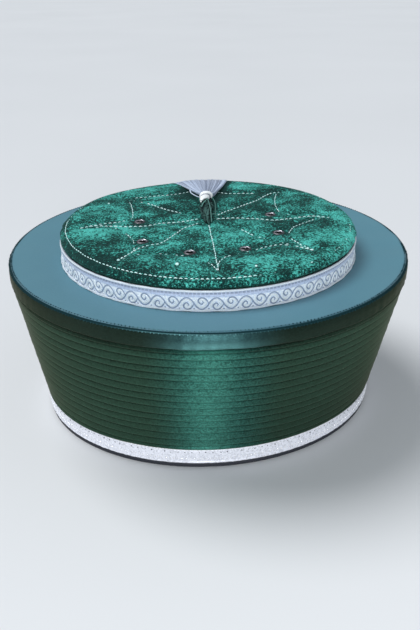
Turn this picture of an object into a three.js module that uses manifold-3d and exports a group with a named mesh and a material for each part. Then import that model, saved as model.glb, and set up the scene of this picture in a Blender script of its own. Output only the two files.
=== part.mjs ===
// A padded turban: a stiff cap with a quilted velvet crown, wrapped in a pleated satin ring, with a tassel.
// Millimetres, +Z up. The origin is the middle of the bottom edge, and the head's long way lies along X.
// The hat is oval at the head and round at the rim, so every ring is turned as a circle and then narrowed
// across Y by the amount that its height asks for.

import * as THREE from "three";
import { mergeVertices } from "three/addons/utils/BufferGeometryUtils.js";
import Module from "manifold-3d";

// How fine the rings are, and the room left between neighbouring pieces
const AROUND = 56;
const GAP = 0.4;

// Heights from the surface that the hat stands on
const BINDING_TOP = 2.5;
const WRAP_FOOT = 2.9;
const LOWER_BRAID_TOP = 12.2;
const LEDGE_INNER_HEIGHT = 95.0;
const UPPER_BRAID_TOP = 106.8;
const CAP_TOP = 104.0;
const CROWN_UNDERSIDE = 104.4;
const CROWN_HEIGHT = 113.0;

// Half of the outer width along X at the foot, and at the fullest place under the rim
const FOOT_HALF_WIDTH = 105.7;
const FOOT_HALF_DEPTH = 93.1;
const RIM_HALF_WIDTH = 119.7;
const RIM_FULLEST_HEIGHT = 94.8;

// The satin over the ring, from the ledge's inner edge out to the crease, over it and down to the lip
const SATIN_LINE = [
  { radius: 87.7, height: 95.0 },
  { radius: 118.0, height: 99.0 },
  { radius: 119.2, height: 97.4 },
  { radius: 119.7, height: 94.8 },
  { radius: 119.7, height: 91.6 },
  { radius: 119.4, height: 89.4 },
];

// The cap
const CAP_FOOT_RADIUS = 100.5;
const CAP_TOP_RADIUS = 87.3;
const CAP_WALL = 2.0;

// Braids and satin
const BRAID_THICKNESS = 1.1;
const SATIN_THICKNESS = 1.2;
const BINDING_ROUNDING = 0.8;

// The pleats in the side, counted from the band's lip down to the foot
const PLEAT_COUNT = 14;
const PLEAT_PITCH = 5.09;
const PLEAT_TOP = 82.3;
const THIN_FOLD_TOP = 89.0;
const THIN_FOLD_FOOT = 86.5;
const PLEAT_EDGE = 0.3;
const PLEAT_PROUD = 0.35;
const PLEAT_SUNK = 0.55;

// The crown
const CROWN_FOOT_RADIUS = 86.9;
const CROWN_SIDE_RADIUS = 88.8;
const STITCH_RING_RADIUS = 85.2;
const CROWN_LEAN = 1.5;
const PUFF_HEIGHT = 1.4;
const PUFF_REACH = 5.0;
const SCALLOP_POWER = 3;
const STEPS_PER_PETAL = AROUND / 8;
const ROWS_INSIDE_SCALLOP = 4;
const ROWS_OUTSIDE_SCALLOP = 3;

// The stitched seams, counterclockwise: where each one points, how far its tip is from the middle,
// and how near to the middle the scallop between it and the next seam dips
const SEAMS = [
  { angle: 38.0, reach: 74, dip: 54 },
  { angle: 83.5, reach: 74, dip: 56 },
  { angle: 130.3, reach: 70, dip: 48 },
  { angle: 177.9, reach: 77, dip: 52 },
  { angle: 220.6, reach: 78, dip: 56 },
  { angle: 263.3, reach: 75, dip: 55.5 },
  { angle: 308.6, reach: 76, dip: 52 },
  { angle: 351.0, reach: 75, dip: 48 },
];

// The eyelets: angle and distance from the middle
const EYELETS = [
  { angle: 3.5, distance: 40.0 },
  { angle: 170.1, distance: 41.3 },
  { angle: 211.1, distance: 49.8 },
  { angle: 248.0, distance: 51.2 },
  { angle: 283.4, distance: 50.2 },
  { angle: 321.5, distance: 46.4 },
];
const EYELET_RADIUS = 3.4;
const EYELET_HOLE_RADIUS = 1.9;
const EYELET_DEPTH = 2.2;
const EYELET_PROUD = 0.5;
const EYELET_SIDES = 10;

// The tassel, which lies on the crown and points away from the middle at this angle
const TASSEL_ANGLE = THREE.MathUtils.degToRad(81.4);
const STEM_START = -3.0;
const NECK_START = 29.5;
const NECK_LENGTH = 6.5;
const NECK_WIDTH = 8.6;
const NECK_THICKNESS = 6.4;
const STEM_WIDTH = 8.8;
const STEM_THICKNESS = 4.6;
const STEM_SIDES = 10;
const LOCK_SIDES = 6;
const LOCK_COUNT = 7;
const LOCK_OVERLAP = 1.25;

// The skirt's course: distance from the crown's middle, height of its middle, whole width, lock thickness
const SKIRT_COURSE = [
  { distance: 36.4, height: 118.3, width: 7.2, thickness: 4.2 },
  { distance: 42.0, height: 117.8, width: 13.0, thickness: 3.0 },
  { distance: 50.0, height: 117.2, width: 19.5, thickness: 2.2 },
  { distance: 68.0, height: 117.0, width: 30.0, thickness: 1.6 },
  { distance: 83.0, height: 116.9, width: 37.0, thickness: 1.6 },
  { distance: 90.2, height: 113.2, width: 38.5, thickness: 1.6 },
  { distance: 91.4, height: 106.5, width: 39.5, thickness: 1.6 },
  { distance: 92.4, height: 100.3, width: 40.5, thickness: 1.6 },
  { distance: 95.5, height: 97.9, width: 41.5, thickness: 1.6 },
  { distance: 101.0, height: 98.2, width: 43.0, thickness: 1.5 },
];
const LOCK_END_STAGGER = 2.5;

const SATIN_SIDE = new THREE.MeshStandardMaterial({ color: 0x2e5c4e, roughness: 0.42, metalness: 0.05 });
const SATIN_TOP = new THREE.MeshStandardMaterial({ color: 0x4f8690, roughness: 0.5, metalness: 0.05 });
const VELVET = new THREE.MeshStandardMaterial({ color: 0x1f7a66, roughness: 0.9, metalness: 0 });
const SILVER_BRAID = new THREE.MeshStandardMaterial({ color: 0xbfc6d8, roughness: 0.35, metalness: 0.4 });
const BLACK_CLOTH = new THREE.MeshStandardMaterial({ color: 0x1a1c22, roughness: 0.85, metalness: 0 });
const EYELET_METAL = new THREE.MeshStandardMaterial({ color: 0x6f6468, roughness: 0.35, metalness: 0.9 });
const STEM_THREAD = new THREE.MeshStandardMaterial({ color: 0x1c4a42, roughness: 0.6, metalness: 0 });
const SILVER_THREAD = new THREE.MeshStandardMaterial({ color: 0xaab2d0, roughness: 0.4, metalness: 0.1 });
const NECK_THREAD = new THREE.MeshStandardMaterial({ color: 0xf0f2fa, roughness: 0.25, metalness: 0.3 });

const wasm = await Module();
wasm.setup();

// How far up the tapered side a height is: 0 at the top of the lower braid, 1 at the fullest place
function taperShare(height) {
  const share = (height - LOWER_BRAID_TOP) / (RIM_FULLEST_HEIGHT - LOWER_BRAID_TOP);
  return THREE.MathUtils.clamp(share, 0, 1);
}

// Half the side's width along X at a height
function sideHalfWidth(height) {
  return THREE.MathUtils.lerp(FOOT_HALF_WIDTH, RIM_HALF_WIDTH, taperShare(height));
}

// Depth over width of the hat at a height: an oval at the head, a circle at the rim
function ovalRatio(height) {
  const halfDepth = THREE.MathUtils.lerp(FOOT_HALF_DEPTH, RIM_HALF_WIDTH, taperShare(height));
  return halfDepth / sideHalfWidth(height);
}

// Keeps only positions, shares the vertices and turns the faces outwards
function closedBody(geometry) {
  geometry.deleteAttribute("normal");
  geometry.deleteAttribute("uv");
  const merged = mergeVertices(geometry, 1e-4);
  if (signedVolume(merged) < 0) {
    const order = merged.index.array;
    for (let i = 0; i < order.length; i += 3) {
      [order[i], order[i + 1]] = [order[i + 1], order[i]];
    }
  }
  return merged;
}

function signedVolume(geometry) {
  const [a, b, c] = [new THREE.Vector3(), new THREE.Vector3(), new THREE.Vector3()];
  let volume = 0;
  for (let i = 0; i < geometry.index.count; i += 3) {
    a.fromBufferAttribute(geometry.attributes.position, geometry.index.getX(i));
    b.fromBufferAttribute(geometry.attributes.position, geometry.index.getX(i + 1));
    c.fromBufferAttribute(geometry.attributes.position, geometry.index.getX(i + 2));
    volume += a.dot(b.cross(c)) / 6;
  }
  return volume;
}

// Turns a profile of [radius along X, height] points about the Z axis and narrows it to the hat's oval
function turnedOval(profile) {
  const points = profile.map(([radius, height]) => new THREE.Vector2(radius, height));
  const geometry = new THREE.LatheGeometry(points, AROUND);
  geometry.rotateX(Math.PI / 2);
  const place = geometry.attributes.position;
  for (let i = 0; i < place.count; i += 1) {
    place.setY(i, place.getY(i) * ovalRatio(place.getZ(i)));
  }
  return closedBody(geometry);
}

// The same profile, closed on itself, for a ring that the axis doesn't touch
function turnedRing(profile) {
  return turnedOval([...profile, profile[0]]);
}

// The way to the right of a step from one [radius, height] point to the next
function rightOf(from, to) {
  return new THREE.Vector2(to[1] - from[1], from[0] - to[0]).normalize();
}

// Moves an open line of points to its right by a distance, with mitred corners
function offsetLine(line, distance) {
  return line.map((point, i) => {
    const before = rightOf(line[Math.max(i - 1, 0)], line[Math.max(i, 1)]);
    const after = rightOf(line[Math.min(i, line.length - 2)], line[Math.min(i + 1, line.length - 1)]);
    const miter = before.clone().add(after).multiplyScalar(distance / (1 + before.dot(after)));
    return [point[0] + miter.x, point[1] + miter.y];
  });
}

// Inner cap: outer radius of its wall at a height
function capRadius(height) {
  const share = (height - WRAP_FOOT) / (LEDGE_INNER_HEIGHT - WRAP_FOOT);
  return THREE.MathUtils.lerp(CAP_FOOT_RADIUS, CAP_TOP_RADIUS, THREE.MathUtils.clamp(share, 0, 1));
}

function innerCap() {
  return turnedOval([
    [0, CAP_TOP - CAP_WALL],
    [capRadius(CAP_TOP) - CAP_WALL, CAP_TOP - CAP_WALL],
    [capRadius(LEDGE_INNER_HEIGHT) - CAP_WALL, LEDGE_INNER_HEIGHT],
    [capRadius(WRAP_FOOT) - CAP_WALL, WRAP_FOOT],
    [capRadius(WRAP_FOOT), WRAP_FOOT],
    [capRadius(LEDGE_INNER_HEIGHT), LEDGE_INNER_HEIGHT],
    [capRadius(CAP_TOP), CAP_TOP],
    [0, CAP_TOP],
  ]);
}

function edgeBinding() {
  const inner = CAP_FOOT_RADIUS - CAP_WALL - GAP;
  const outer = FOOT_HALF_WIDTH - GAP;
  return turnedRing([
    [inner, 0],
    [outer - BINDING_ROUNDING, 0],
    [outer, BINDING_ROUNDING],
    [outer, BINDING_TOP],
    [inner, BINDING_TOP],
  ]);
}

// The satin's line at some depth below its surface; both of its ends are cut square
function satinLine(depth) {
  const surface = SATIN_LINE.map(({ radius, height }) => [radius, height]);
  const line = offsetLine(surface, depth);
  const last = line.length - 1;
  line[0] = [surface[0][0], surface[0][1] - depth];
  line[last] = [surface[last][0] - depth, surface[last][1]];
  return line;
}

function ledgeCover() {
  return turnedRing([...satinLine(0), ...satinLine(SATIN_THICKNESS).reverse()]);
}

// Each pleat's folded lower edge stands proud and overlaps the top of the pleat below it
function pleatedSide() {
  const edges = [THIN_FOLD_FOOT];
  for (let i = 0; i < PLEAT_COUNT; i += 1) {
    edges.push(PLEAT_TOP - i * PLEAT_PITCH);
  }
  const line = [[sideHalfWidth(THIN_FOLD_TOP) - PLEAT_SUNK, THIN_FOLD_TOP]];
  for (const height of edges) {
    line.push([sideHalfWidth(height) + PLEAT_PROUD, height + PLEAT_EDGE]);
    line.push([sideHalfWidth(height) - PLEAT_SUNK, height]);
  }
  return line;
}

function pleatedWrap() {
  const braidSeat = FOOT_HALF_WIDTH - BRAID_THICKNESS - GAP;
  return turnedRing([
    ...satinLine(SATIN_THICKNESS + GAP),
    ...pleatedSide(),
    [sideHalfWidth(LOWER_BRAID_TOP) + PLEAT_PROUD, LOWER_BRAID_TOP + GAP],
    [braidSeat, LOWER_BRAID_TOP + GAP],
    [braidSeat, WRAP_FOOT],
    [CAP_FOOT_RADIUS + GAP, WRAP_FOOT],
  ]);
}

// A flat band standing round the hat
function braid(outerRadius, foot, top) {
  return turnedRing([
    [outerRadius - BRAID_THICKNESS, foot],
    [outerRadius, foot],
    [outerRadius, top],
    [outerRadius - BRAID_THICKNESS, top],
  ]);
}

// Seam level of the crown, which leans up towards the tassel
function crownLevel(x, y) {
  const towardsTassel = x * Math.cos(TASSEL_ANGLE) + y * Math.sin(TASSEL_ANGLE);
  return CROWN_HEIGHT + (CROWN_LEAN * towardsTassel) / STITCH_RING_RADIUS;
}

// The petal of the crown that begins at a seam: its bounds and, at a share across it, its scallop
function petal(index) {
  const from = SEAMS[index];
  const to = SEAMS[(index + 1) % SEAMS.length];
  const width = (to.angle - from.angle + 360) % 360;
  const scallop = (share) => {
    const reach = THREE.MathUtils.lerp(from.reach, to.reach, share);
    return from.dip + (reach - from.dip) * Math.abs(2 * share - 1) ** SCALLOP_POWER;
  };
  return { start: from.angle, width, scallop };
}

// How much the padding puffs up between the stitched lines
function puff(distance, share, petalWidth, scallopRadius) {
  const nearerSeam = Math.min(share, 1 - share) * petalWidth;
  const toSeam = distance < scallopRadius ? distance * Math.sin(nearerSeam) : Infinity;
  const toScallop = Math.abs(distance - scallopRadius);
  const toRing = STITCH_RING_RADIUS - distance;
  return PUFF_HEIGHT * (1 - Math.exp(-Math.min(toSeam, toScallop, toRing) / PUFF_REACH));
}

// One spoke of the crown from near the middle out to the stitched ring
function crownSpoke(index, step) {
  const { start, width, scallop } = petal(index);
  const share = step / STEPS_PER_PETAL;
  const angle = THREE.MathUtils.degToRad(start + share * width);
  const scallopRadius = scallop(share);
  const distances = [];
  for (let i = 1; i <= ROWS_INSIDE_SCALLOP; i += 1) {
    distances.push((scallopRadius * i) / ROWS_INSIDE_SCALLOP);
  }
  for (let i = 1; i <= ROWS_OUTSIDE_SCALLOP; i += 1) {
    distances.push(THREE.MathUtils.lerp(scallopRadius, STITCH_RING_RADIUS, i / ROWS_OUTSIDE_SCALLOP));
  }
  return distances.map((distance) => {
    const [x, y] = [distance * Math.cos(angle), distance * Math.sin(angle)];
    const rise = puff(distance, share, THREE.MathUtils.degToRad(width), scallopRadius);
    return [x, y, crownLevel(x, y) + rise];
  });
}

// The rounded shoulder below the stitched ring, as a share of the way down to the braid
const CROWN_SHOULDER = [
  { radius: 87.6, share: 0.8 },
  { radius: CROWN_SIDE_RADIUS, share: 0.5 },
  { radius: CROWN_SIDE_RADIUS, share: 0.2 },
  { radius: CROWN_FOOT_RADIUS, share: 0.0 },
];

function crownShoulder(angle) {
  const [x, y] = [Math.cos(angle), Math.sin(angle)];
  const top = crownLevel(x * STITCH_RING_RADIUS, y * STITCH_RING_RADIUS);
  const foot = UPPER_BRAID_TOP + GAP;
  const rows = CROWN_SHOULDER.map(({ radius, share }) => {
    return [x * radius, y * radius, THREE.MathUtils.lerp(foot, top, share)];
  });
  rows.push([x * CROWN_FOOT_RADIUS, y * CROWN_FOOT_RADIUS, CROWN_UNDERSIDE]);
  return rows;
}

// Joins spokes of equal length into a body, with a middle point above and one below
function bodyOfSpokes(spokes, middleAbove, middleBelow) {
  const rows = spokes[0].length;
  const positions = [...middleAbove, ...middleBelow, ...spokes.flat(2)];
  const vertex = (spoke, row) => 2 + (spoke % spokes.length) * rows + row;
  const order = [];
  for (let spoke = 0; spoke < spokes.length; spoke += 1) {
    order.push(0, vertex(spoke, 0), vertex(spoke + 1, 0));
    order.push(1, vertex(spoke + 1, rows - 1), vertex(spoke, rows - 1));
    for (let row = 0; row + 1 < rows; row += 1) {
      order.push(vertex(spoke, row), vertex(spoke, row + 1), vertex(spoke + 1, row));
      order.push(vertex(spoke + 1, row), vertex(spoke, row + 1), vertex(spoke + 1, row + 1));
    }
  }
  const geometry = new THREE.BufferGeometry();
  geometry.setAttribute("position", new THREE.Float32BufferAttribute(positions, 3));
  geometry.setIndex(order);
  return closedBody(geometry);
}

function crownPad() {
  const spokes = [];
  for (let index = 0; index < SEAMS.length; index += 1) {
    for (let step = 0; step < STEPS_PER_PETAL; step += 1) {
      const spoke = crownSpoke(index, step);
      const [x, y] = spoke[spoke.length - 1];
      spokes.push([...spoke, ...crownShoulder(Math.atan2(y, x))]);
    }
  }
  return bodyOfSpokes(spokes, [0, 0, CROWN_HEIGHT], [0, 0, CROWN_UNDERSIDE]);
}

// Conversions for cutting and joining
function toSolid(geometry) {
  const mesh = new wasm.Mesh({
    numProp: 3,
    vertProperties: new Float32Array(geometry.attributes.position.array),
    triVerts: new Uint32Array(geometry.index.array),
  });
  return new wasm.Manifold(mesh);
}

function toGeometry(solid) {
  const mesh = solid.getMesh();
  const geometry = new THREE.BufferGeometry();
  geometry.setAttribute("position", new THREE.BufferAttribute(new Float32Array(mesh.vertProperties), 3));
  geometry.setIndex(new THREE.BufferAttribute(new Uint32Array(mesh.triVerts), 1));
  return closedBody(geometry);
}

// Where an eyelet sits on the crown: the point on seam level
function eyeletPlace({ angle, distance }) {
  const turn = THREE.MathUtils.degToRad(angle);
  const [x, y] = [distance * Math.cos(turn), distance * Math.sin(turn)];
  return new THREE.Vector3(x, y, crownLevel(x, y));
}

// The crown with a round pocket for each eyelet
function crownTop() {
  let solid = toSolid(crownPad());
  const depth = EYELET_DEPTH + GAP;
  const height = depth + 2 * PUFF_HEIGHT;
  for (const eyelet of EYELETS) {
    const pocket = new THREE.CylinderGeometry(EYELET_RADIUS + GAP, EYELET_RADIUS + GAP, height, EYELET_SIDES);
    pocket.rotateX(Math.PI / 2);
    const place = eyeletPlace(eyelet);
    pocket.translate(place.x, place.y, place.z - depth + height / 2);
    solid = solid.subtract(toSolid(closedBody(pocket)));
  }
  return toGeometry(solid);
}

function eyeletRing() {
  const middle = (EYELET_RADIUS + EYELET_HOLE_RADIUS) / 2;
  const profile = [
    [EYELET_HOLE_RADIUS, -EYELET_DEPTH],
    [EYELET_RADIUS, -EYELET_DEPTH],
    [EYELET_RADIUS, 0],
    [middle, EYELET_PROUD],
    [EYELET_HOLE_RADIUS, 0],
    [EYELET_HOLE_RADIUS, -EYELET_DEPTH],
  ];
  const points = profile.map(([radius, height]) => new THREE.Vector2(radius, height));
  const geometry = new THREE.LatheGeometry(points, EYELET_SIDES);
  geometry.rotateX(Math.PI / 2);
  return closedBody(geometry);
}

// A closed body through oval sections: each has a middle, a width across and a thickness, and is square to
// the way that the body runs, seen from the side
function loftOvals(sections, across, sides) {
  const spans = sections.map(({ middle, width, thickness }, i) => {
    const before = sections[Math.max(i - 1, 0)].middle;
    const after = sections[Math.min(i + 1, sections.length - 1)].middle;
    const along = after.clone().sub(before).normalize();
    const thick = along.clone().cross(across).normalize();
    const wide = thick.clone().cross(along).normalize();
    return { middle, wide: wide.multiplyScalar(width / 2), thick: thick.multiplyScalar(thickness / 2) };
  });
  const spokes = [];
  for (let side = 0; side < sides; side += 1) {
    const turn = (2 * Math.PI * (side + 0.5)) / sides;
    spokes.push(spans.map(({ middle, wide, thick }) => {
      const point = middle.clone().addScaledVector(wide, Math.cos(turn));
      return point.addScaledVector(thick, Math.sin(turn)).toArray();
    }));
  }
  const first = spans[0].middle.toArray();
  const last = spans[spans.length - 1].middle.toArray();
  return bodyOfSpokes(spokes, first, last);
}

const TASSEL_WAY = new THREE.Vector3(Math.cos(TASSEL_ANGLE), Math.sin(TASSEL_ANGLE), 0);
const TASSEL_ACROSS = new THREE.Vector3(-Math.sin(TASSEL_ANGLE), Math.cos(TASSEL_ANGLE), 0);

// A point of the tassel: distance from the crown's middle, sideways shift and height
function tasselPoint(distance, sideways, height) {
  const point = TASSEL_WAY.clone().multiplyScalar(distance).addScaledVector(TASSEL_ACROSS, sideways);
  return point.setZ(height);
}

// Height of the middle of something of this thickness that lies on the puffed crown
function lyingHeight(distance, thickness) {
  const { x, y } = tasselPoint(distance, 0, 0);
  return crownLevel(x, y) + PUFF_HEIGHT + GAP + thickness / 2;
}

function tasselStem() {
  const stations = [
    { distance: STEM_START, width: 6.0, thickness: 2.6 },
    { distance: 4.0, width: STEM_WIDTH, thickness: 3.8 },
    { distance: 12.0, width: STEM_WIDTH, thickness: STEM_THICKNESS },
    { distance: NECK_START - GAP, width: 7.6, thickness: STEM_THICKNESS },
  ];
  const sections = stations.map(({ distance, width, thickness }) => {
    return { middle: tasselPoint(distance, 0, lyingHeight(distance, thickness)), width, thickness };
  });
  return loftOvals(sections, TASSEL_ACROSS, STEM_SIDES);
}

function tasselNeck() {
  const stations = [
    { share: 0.0, size: 0.84 },
    { share: 0.2, size: 1.0 },
    { share: 0.8, size: 1.0 },
    { share: 1.0, size: 0.84 },
  ];
  const height = lyingHeight(NECK_START, NECK_THICKNESS);
  const sections = stations.map(({ share, size }) => ({
    middle: tasselPoint(NECK_START + share * NECK_LENGTH, 0, height),
    width: NECK_WIDTH * size,
    thickness: NECK_THICKNESS * size,
  }));
  return loftOvals(sections, TASSEL_ACROSS, STEM_SIDES);
}

// One lock of the skirt: place runs from -1 at one side of the fan to 1 at the other
function skirtLock(index) {
  const place = (2 * index) / (LOCK_COUNT - 1) - 1;
  const sections = SKIRT_COURSE.map(({ distance, height, width, thickness }, i) => {
    const isEnd = i === SKIRT_COURSE.length - 1;
    const stagger = isEnd ? LOCK_END_STAGGER * ((index % 3) - 1) : 0;
    const lockWidth = (width / LOCK_COUNT) * LOCK_OVERLAP;
    const sideways = (place * (width - lockWidth)) / 2;
    const towardsRim = Math.sqrt((distance + stagger) ** 2 - sideways ** 2);
    return { middle: tasselPoint(towardsRim, sideways, height), width: lockWidth, thickness };
  });
  return loftOvals(sections, TASSEL_ACROSS, LOCK_SIDES);
}

function tasselSkirt() {
  let solid = toSolid(skirtLock(0));
  for (let index = 1; index < LOCK_COUNT; index += 1) {
    solid = solid.add(toSolid(skirtLock(index)));
  }
  return toGeometry(solid);
}

// The assembly
const turban = new THREE.Group();

function addPiece(name, geometry, material, place = new THREE.Vector3()) {
  const mesh = new THREE.Mesh(geometry, material);
  mesh.name = name;
  mesh.position.copy(place);
  turban.add(mesh);
}

addPiece("inner_cap", innerCap(), BLACK_CLOTH);
addPiece("edge_binding", edgeBinding(), BLACK_CLOTH);
addPiece("pleated_wrap", pleatedWrap(), SATIN_SIDE);
addPiece("ledge_cover", ledgeCover(), SATIN_TOP);
addPiece("lower_braid", braid(FOOT_HALF_WIDTH, WRAP_FOOT, LOWER_BRAID_TOP), SILVER_BRAID);
const upperBraidRadius = CAP_TOP_RADIUS + GAP + BRAID_THICKNESS;
addPiece("upper_braid", braid(upperBraidRadius, LEDGE_INNER_HEIGHT + GAP, UPPER_BRAID_TOP), SILVER_BRAID);
addPiece("crown_top", crownTop(), VELVET);
EYELETS.forEach((eyelet, i) => {
  addPiece(`eyelet_${i + 1}`, eyeletRing(), EYELET_METAL, eyeletPlace(eyelet));
});
addPiece("tassel_stem", tasselStem(), STEM_THREAD);
addPiece("tassel_neck", tasselNeck(), NECK_THREAD);
addPiece("tassel_skirt", tasselSkirt(), SILVER_THREAD);

export default turban;
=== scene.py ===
# %% [markdown]
# A padded turban with a velvet crown, dressed around its plain model
#
# The hat is a stiff black cap inside a thick padded ring. The ring's side is dark green satin in narrow
# flat pleats, its top is smooth satin, silver braid runs round the foot and round the cap above the ring,
# and the crown is crushed velvet, quilted with pale thread and set with eyelets. A tassel lies on it.
# The plain model gives every size. This script loads it, builds a fine mesh for each piece in the same
# place, and gives each one a material made of nodes.

# %% Load the plain model and keep its box
import math
import time

import bpy
import numpy as np
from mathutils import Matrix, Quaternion, Vector, noise
from mathutils.bvhtree import BVHTree
from mathutils.geometry import delaunay_2d_cdt
from mathutils.kdtree import KDTree


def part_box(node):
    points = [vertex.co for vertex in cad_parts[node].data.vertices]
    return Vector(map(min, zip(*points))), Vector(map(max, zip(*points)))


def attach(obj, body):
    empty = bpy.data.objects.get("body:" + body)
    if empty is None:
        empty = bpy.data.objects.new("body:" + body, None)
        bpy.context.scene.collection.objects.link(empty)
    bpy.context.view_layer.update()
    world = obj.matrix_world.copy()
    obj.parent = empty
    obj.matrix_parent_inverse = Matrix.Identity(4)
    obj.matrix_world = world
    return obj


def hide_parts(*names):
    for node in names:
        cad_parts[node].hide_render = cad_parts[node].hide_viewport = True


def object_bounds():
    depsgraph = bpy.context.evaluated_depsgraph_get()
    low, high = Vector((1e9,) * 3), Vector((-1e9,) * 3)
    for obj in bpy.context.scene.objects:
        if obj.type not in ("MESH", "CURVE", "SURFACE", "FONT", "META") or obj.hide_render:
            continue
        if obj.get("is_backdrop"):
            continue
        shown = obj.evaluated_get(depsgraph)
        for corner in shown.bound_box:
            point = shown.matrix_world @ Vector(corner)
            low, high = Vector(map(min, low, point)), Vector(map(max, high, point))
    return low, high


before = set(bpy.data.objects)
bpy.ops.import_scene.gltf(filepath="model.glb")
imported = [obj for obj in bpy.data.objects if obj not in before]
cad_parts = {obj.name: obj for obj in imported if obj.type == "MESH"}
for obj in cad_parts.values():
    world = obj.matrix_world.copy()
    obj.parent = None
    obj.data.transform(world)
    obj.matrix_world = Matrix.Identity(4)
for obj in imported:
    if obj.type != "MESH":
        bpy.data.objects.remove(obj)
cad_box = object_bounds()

MM = 0.001
print("nodes:", ", ".join(sorted(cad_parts)))

# %% [markdown]
# The camera stands in front of the hat and a little above it, near enough to see both the pleated side
# and the whole crown. A camera object could be aimed by a constraint, but a place, a direction and a small
# roll say exactly what a hand-held picture has, and nothing has to be worked out again later.

# %% The camera
EYE = Vector((-0.0749, -0.3994, 0.2515))
LOOK_WAY = Vector((0.16634, 0.87940, -0.44607))
ROLL = math.radians(-0.668)

camera_data = bpy.data.cameras.new("camera")
camera_data.lens = 40
camera_data.sensor_width = 36
camera = bpy.data.objects.new("camera", camera_data)
camera.location = EYE
camera.rotation_mode = "QUATERNION"
camera.rotation_quaternion = LOOK_WAY.to_track_quat("-Z", "Y") @ Quaternion((0, 0, 1), ROLL)
bpy.context.scene.collection.objects.link(camera)
bpy.context.scene.camera = camera
print("camera looks down by", round(-math.degrees(math.asin(LOOK_WAY.normalized().z)), 1), "degrees")

# %% [markdown]
# A mesh is only a list of points and a list of faces. Most of this hat is rings and strips, so two helpers
# are enough: one turns a grid of points into a body, and one keeps adding small bodies to the same mesh,
# because a thousand stitches as a thousand objects would be slow to handle.

# %% From points and faces to an object that rides on the hat
def add_object(name, points, faces):
    """An object from points in metres and faces, which rides on the hat."""
    mesh = bpy.data.meshes.new(name)
    mesh.from_pydata(np.asarray(points).reshape(-1, 3).tolist(), [], faces)
    mesh.validate()
    mesh.shade_smooth()
    made = bpy.data.objects.new(name, mesh)
    bpy.context.scene.collection.objects.link(made)
    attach(made, "root")
    triangles = sum(len(face) - 2 for face in faces)
    print(f"{name}: {len(mesh.vertices)} points, {triangles} triangles")
    return made


def grid_faces(rows, columns, close_rows=False):
    """The four-sided faces of a grid of points. Its rows close round, and it may also join its own start."""
    index = np.arange(rows * columns).reshape(rows, columns)
    index = np.hstack([index, index[:, :1]])
    if close_rows:
        index = np.vstack([index, index[:1]])
    quads = [index[:-1, :-1], index[:-1, 1:], index[1:, 1:], index[1:, :-1]]
    return np.stack(quads, axis=-1).reshape(-1, 4).tolist()


def capped_faces(rows, columns):
    """The same grid with one flat face over each end."""
    faces = grid_faces(rows, columns)
    faces.append(list(range(columns)))
    faces.append([rows * columns - 1 - i for i in range(columns)])
    return faces


def fanned_faces(rows, columns):
    """The same grid with a fan over each end. The fans' middles are the two points after the grid's."""
    faces = grid_faces(rows, columns)
    middle = rows * columns
    for i in range(columns):
        after = (i + 1) % columns
        faces.append([middle, after, i])
        faces.append([middle + 1, middle - columns + i, middle - columns + after])
    return faces


class Heap:
    """Points and faces of many small bodies that end up in one mesh."""

    def __init__(self):
        self.points = []
        self.faces = []
        self.tones = []
        self.count = 0

    def add(self, points, faces, tone=0.5):
        points = np.asarray(points).reshape(-1, 3)
        self.faces += [[corner + self.count for corner in face] for face in faces]
        self.points.append(points)
        self.tones.append(np.full(len(points), tone))
        self.count += len(points)

    def make(self, name):
        made = add_object(name, np.concatenate(self.points), self.faces)
        keep_attribute(made, "tone", np.concatenate(self.tones))
        return made


def keep_attribute(made, name, values):
    """Stores one number for each point of a mesh, which a material can read by its name."""
    attribute = made.data.attributes.new(name, "FLOAT", "POINT")
    attribute.data.foreach_set("value", np.asarray(values, np.float32).ravel())


# %% Tubes that follow a line
def unit(vectors):
    """Vectors of length one in the same directions."""
    return vectors / np.maximum(np.linalg.norm(vectors, axis=-1, keepdims=True), 1e-12)


def all_round(count):
    """This many angles, spaced evenly once round."""
    return 2 * math.pi * np.arange(count) / count


def tube(line, thick, up, sides=6, wide=None):
    """Points and faces of a closed tube along a line of points. thick and wide are its half sizes."""
    line = np.asarray(line, float)
    steps = len(line)
    thick = np.broadcast_to(thick, steps)[:, None, None]
    wide = thick if wide is None else np.broadcast_to(wide, steps)[:, None, None]
    along = unit(np.gradient(line, axis=0))
    side = unit(np.cross(along, np.broadcast_to(up, line.shape)))
    above = np.cross(side, along)
    turn = all_round(sides)
    ring = np.cos(turn)[None, :, None] * side[:, None] * wide
    ring = ring + np.sin(turn)[None, :, None] * above[:, None] * thick
    return line[:, None] + ring, capped_faces(steps, sides)


def closed_tube(line, thick, up, sides=6, wide=None):
    """The same tube, where the line runs on into its own start."""
    points, _ = tube(line, thick, up, sides, wide)
    return points, grid_faces(len(points), sides, close_rows=True)


def bead(place, half_sizes, rows=6, sides=8):
    """Points and faces of a small round body."""
    height = np.cos(np.linspace(0, math.pi, rows + 1)[1:-1])
    turn = all_round(sides)
    level = np.sqrt(1 - height**2)
    rings = np.stack(
        [level[:, None] * np.cos(turn), level[:, None] * np.sin(turn), height[:, None] + 0 * turn], axis=-1
    )
    points = np.concatenate([rings.reshape(-1, 3), [[0, 0, 1], [0, 0, -1]]]) * half_sizes + place
    return points, [face[::-1] for face in fanned_faces(rows - 1, sides)]


def swung(points, turn):
    """Points of a small body, swung round the upright axis by an angle."""
    c = math.cos(turn)
    s = math.sin(turn)
    return points @ np.array([[c, s, 0], [-s, c, 0], [0, 0, 1]])


# %% [markdown]
# The head is oval and the rim is round, so the padded ring changes shape on its way up. Every ring of the
# hat is therefore turned as a circle and then narrowed from front to back, by a ratio that depends on its
# height. The numbers come from the boxes of the plain model's pieces.

# %% The hat's own shape
def outer(node):
    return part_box(node)[1]


BRAID_TOP = outer("lower_braid").z
FOOT_WIDTH = outer("lower_braid").x
FOOT_DEPTH = outer("lower_braid").y
RIM_WIDTH = outer("ledge_cover").x
FULLEST = 94.8 * MM


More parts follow.
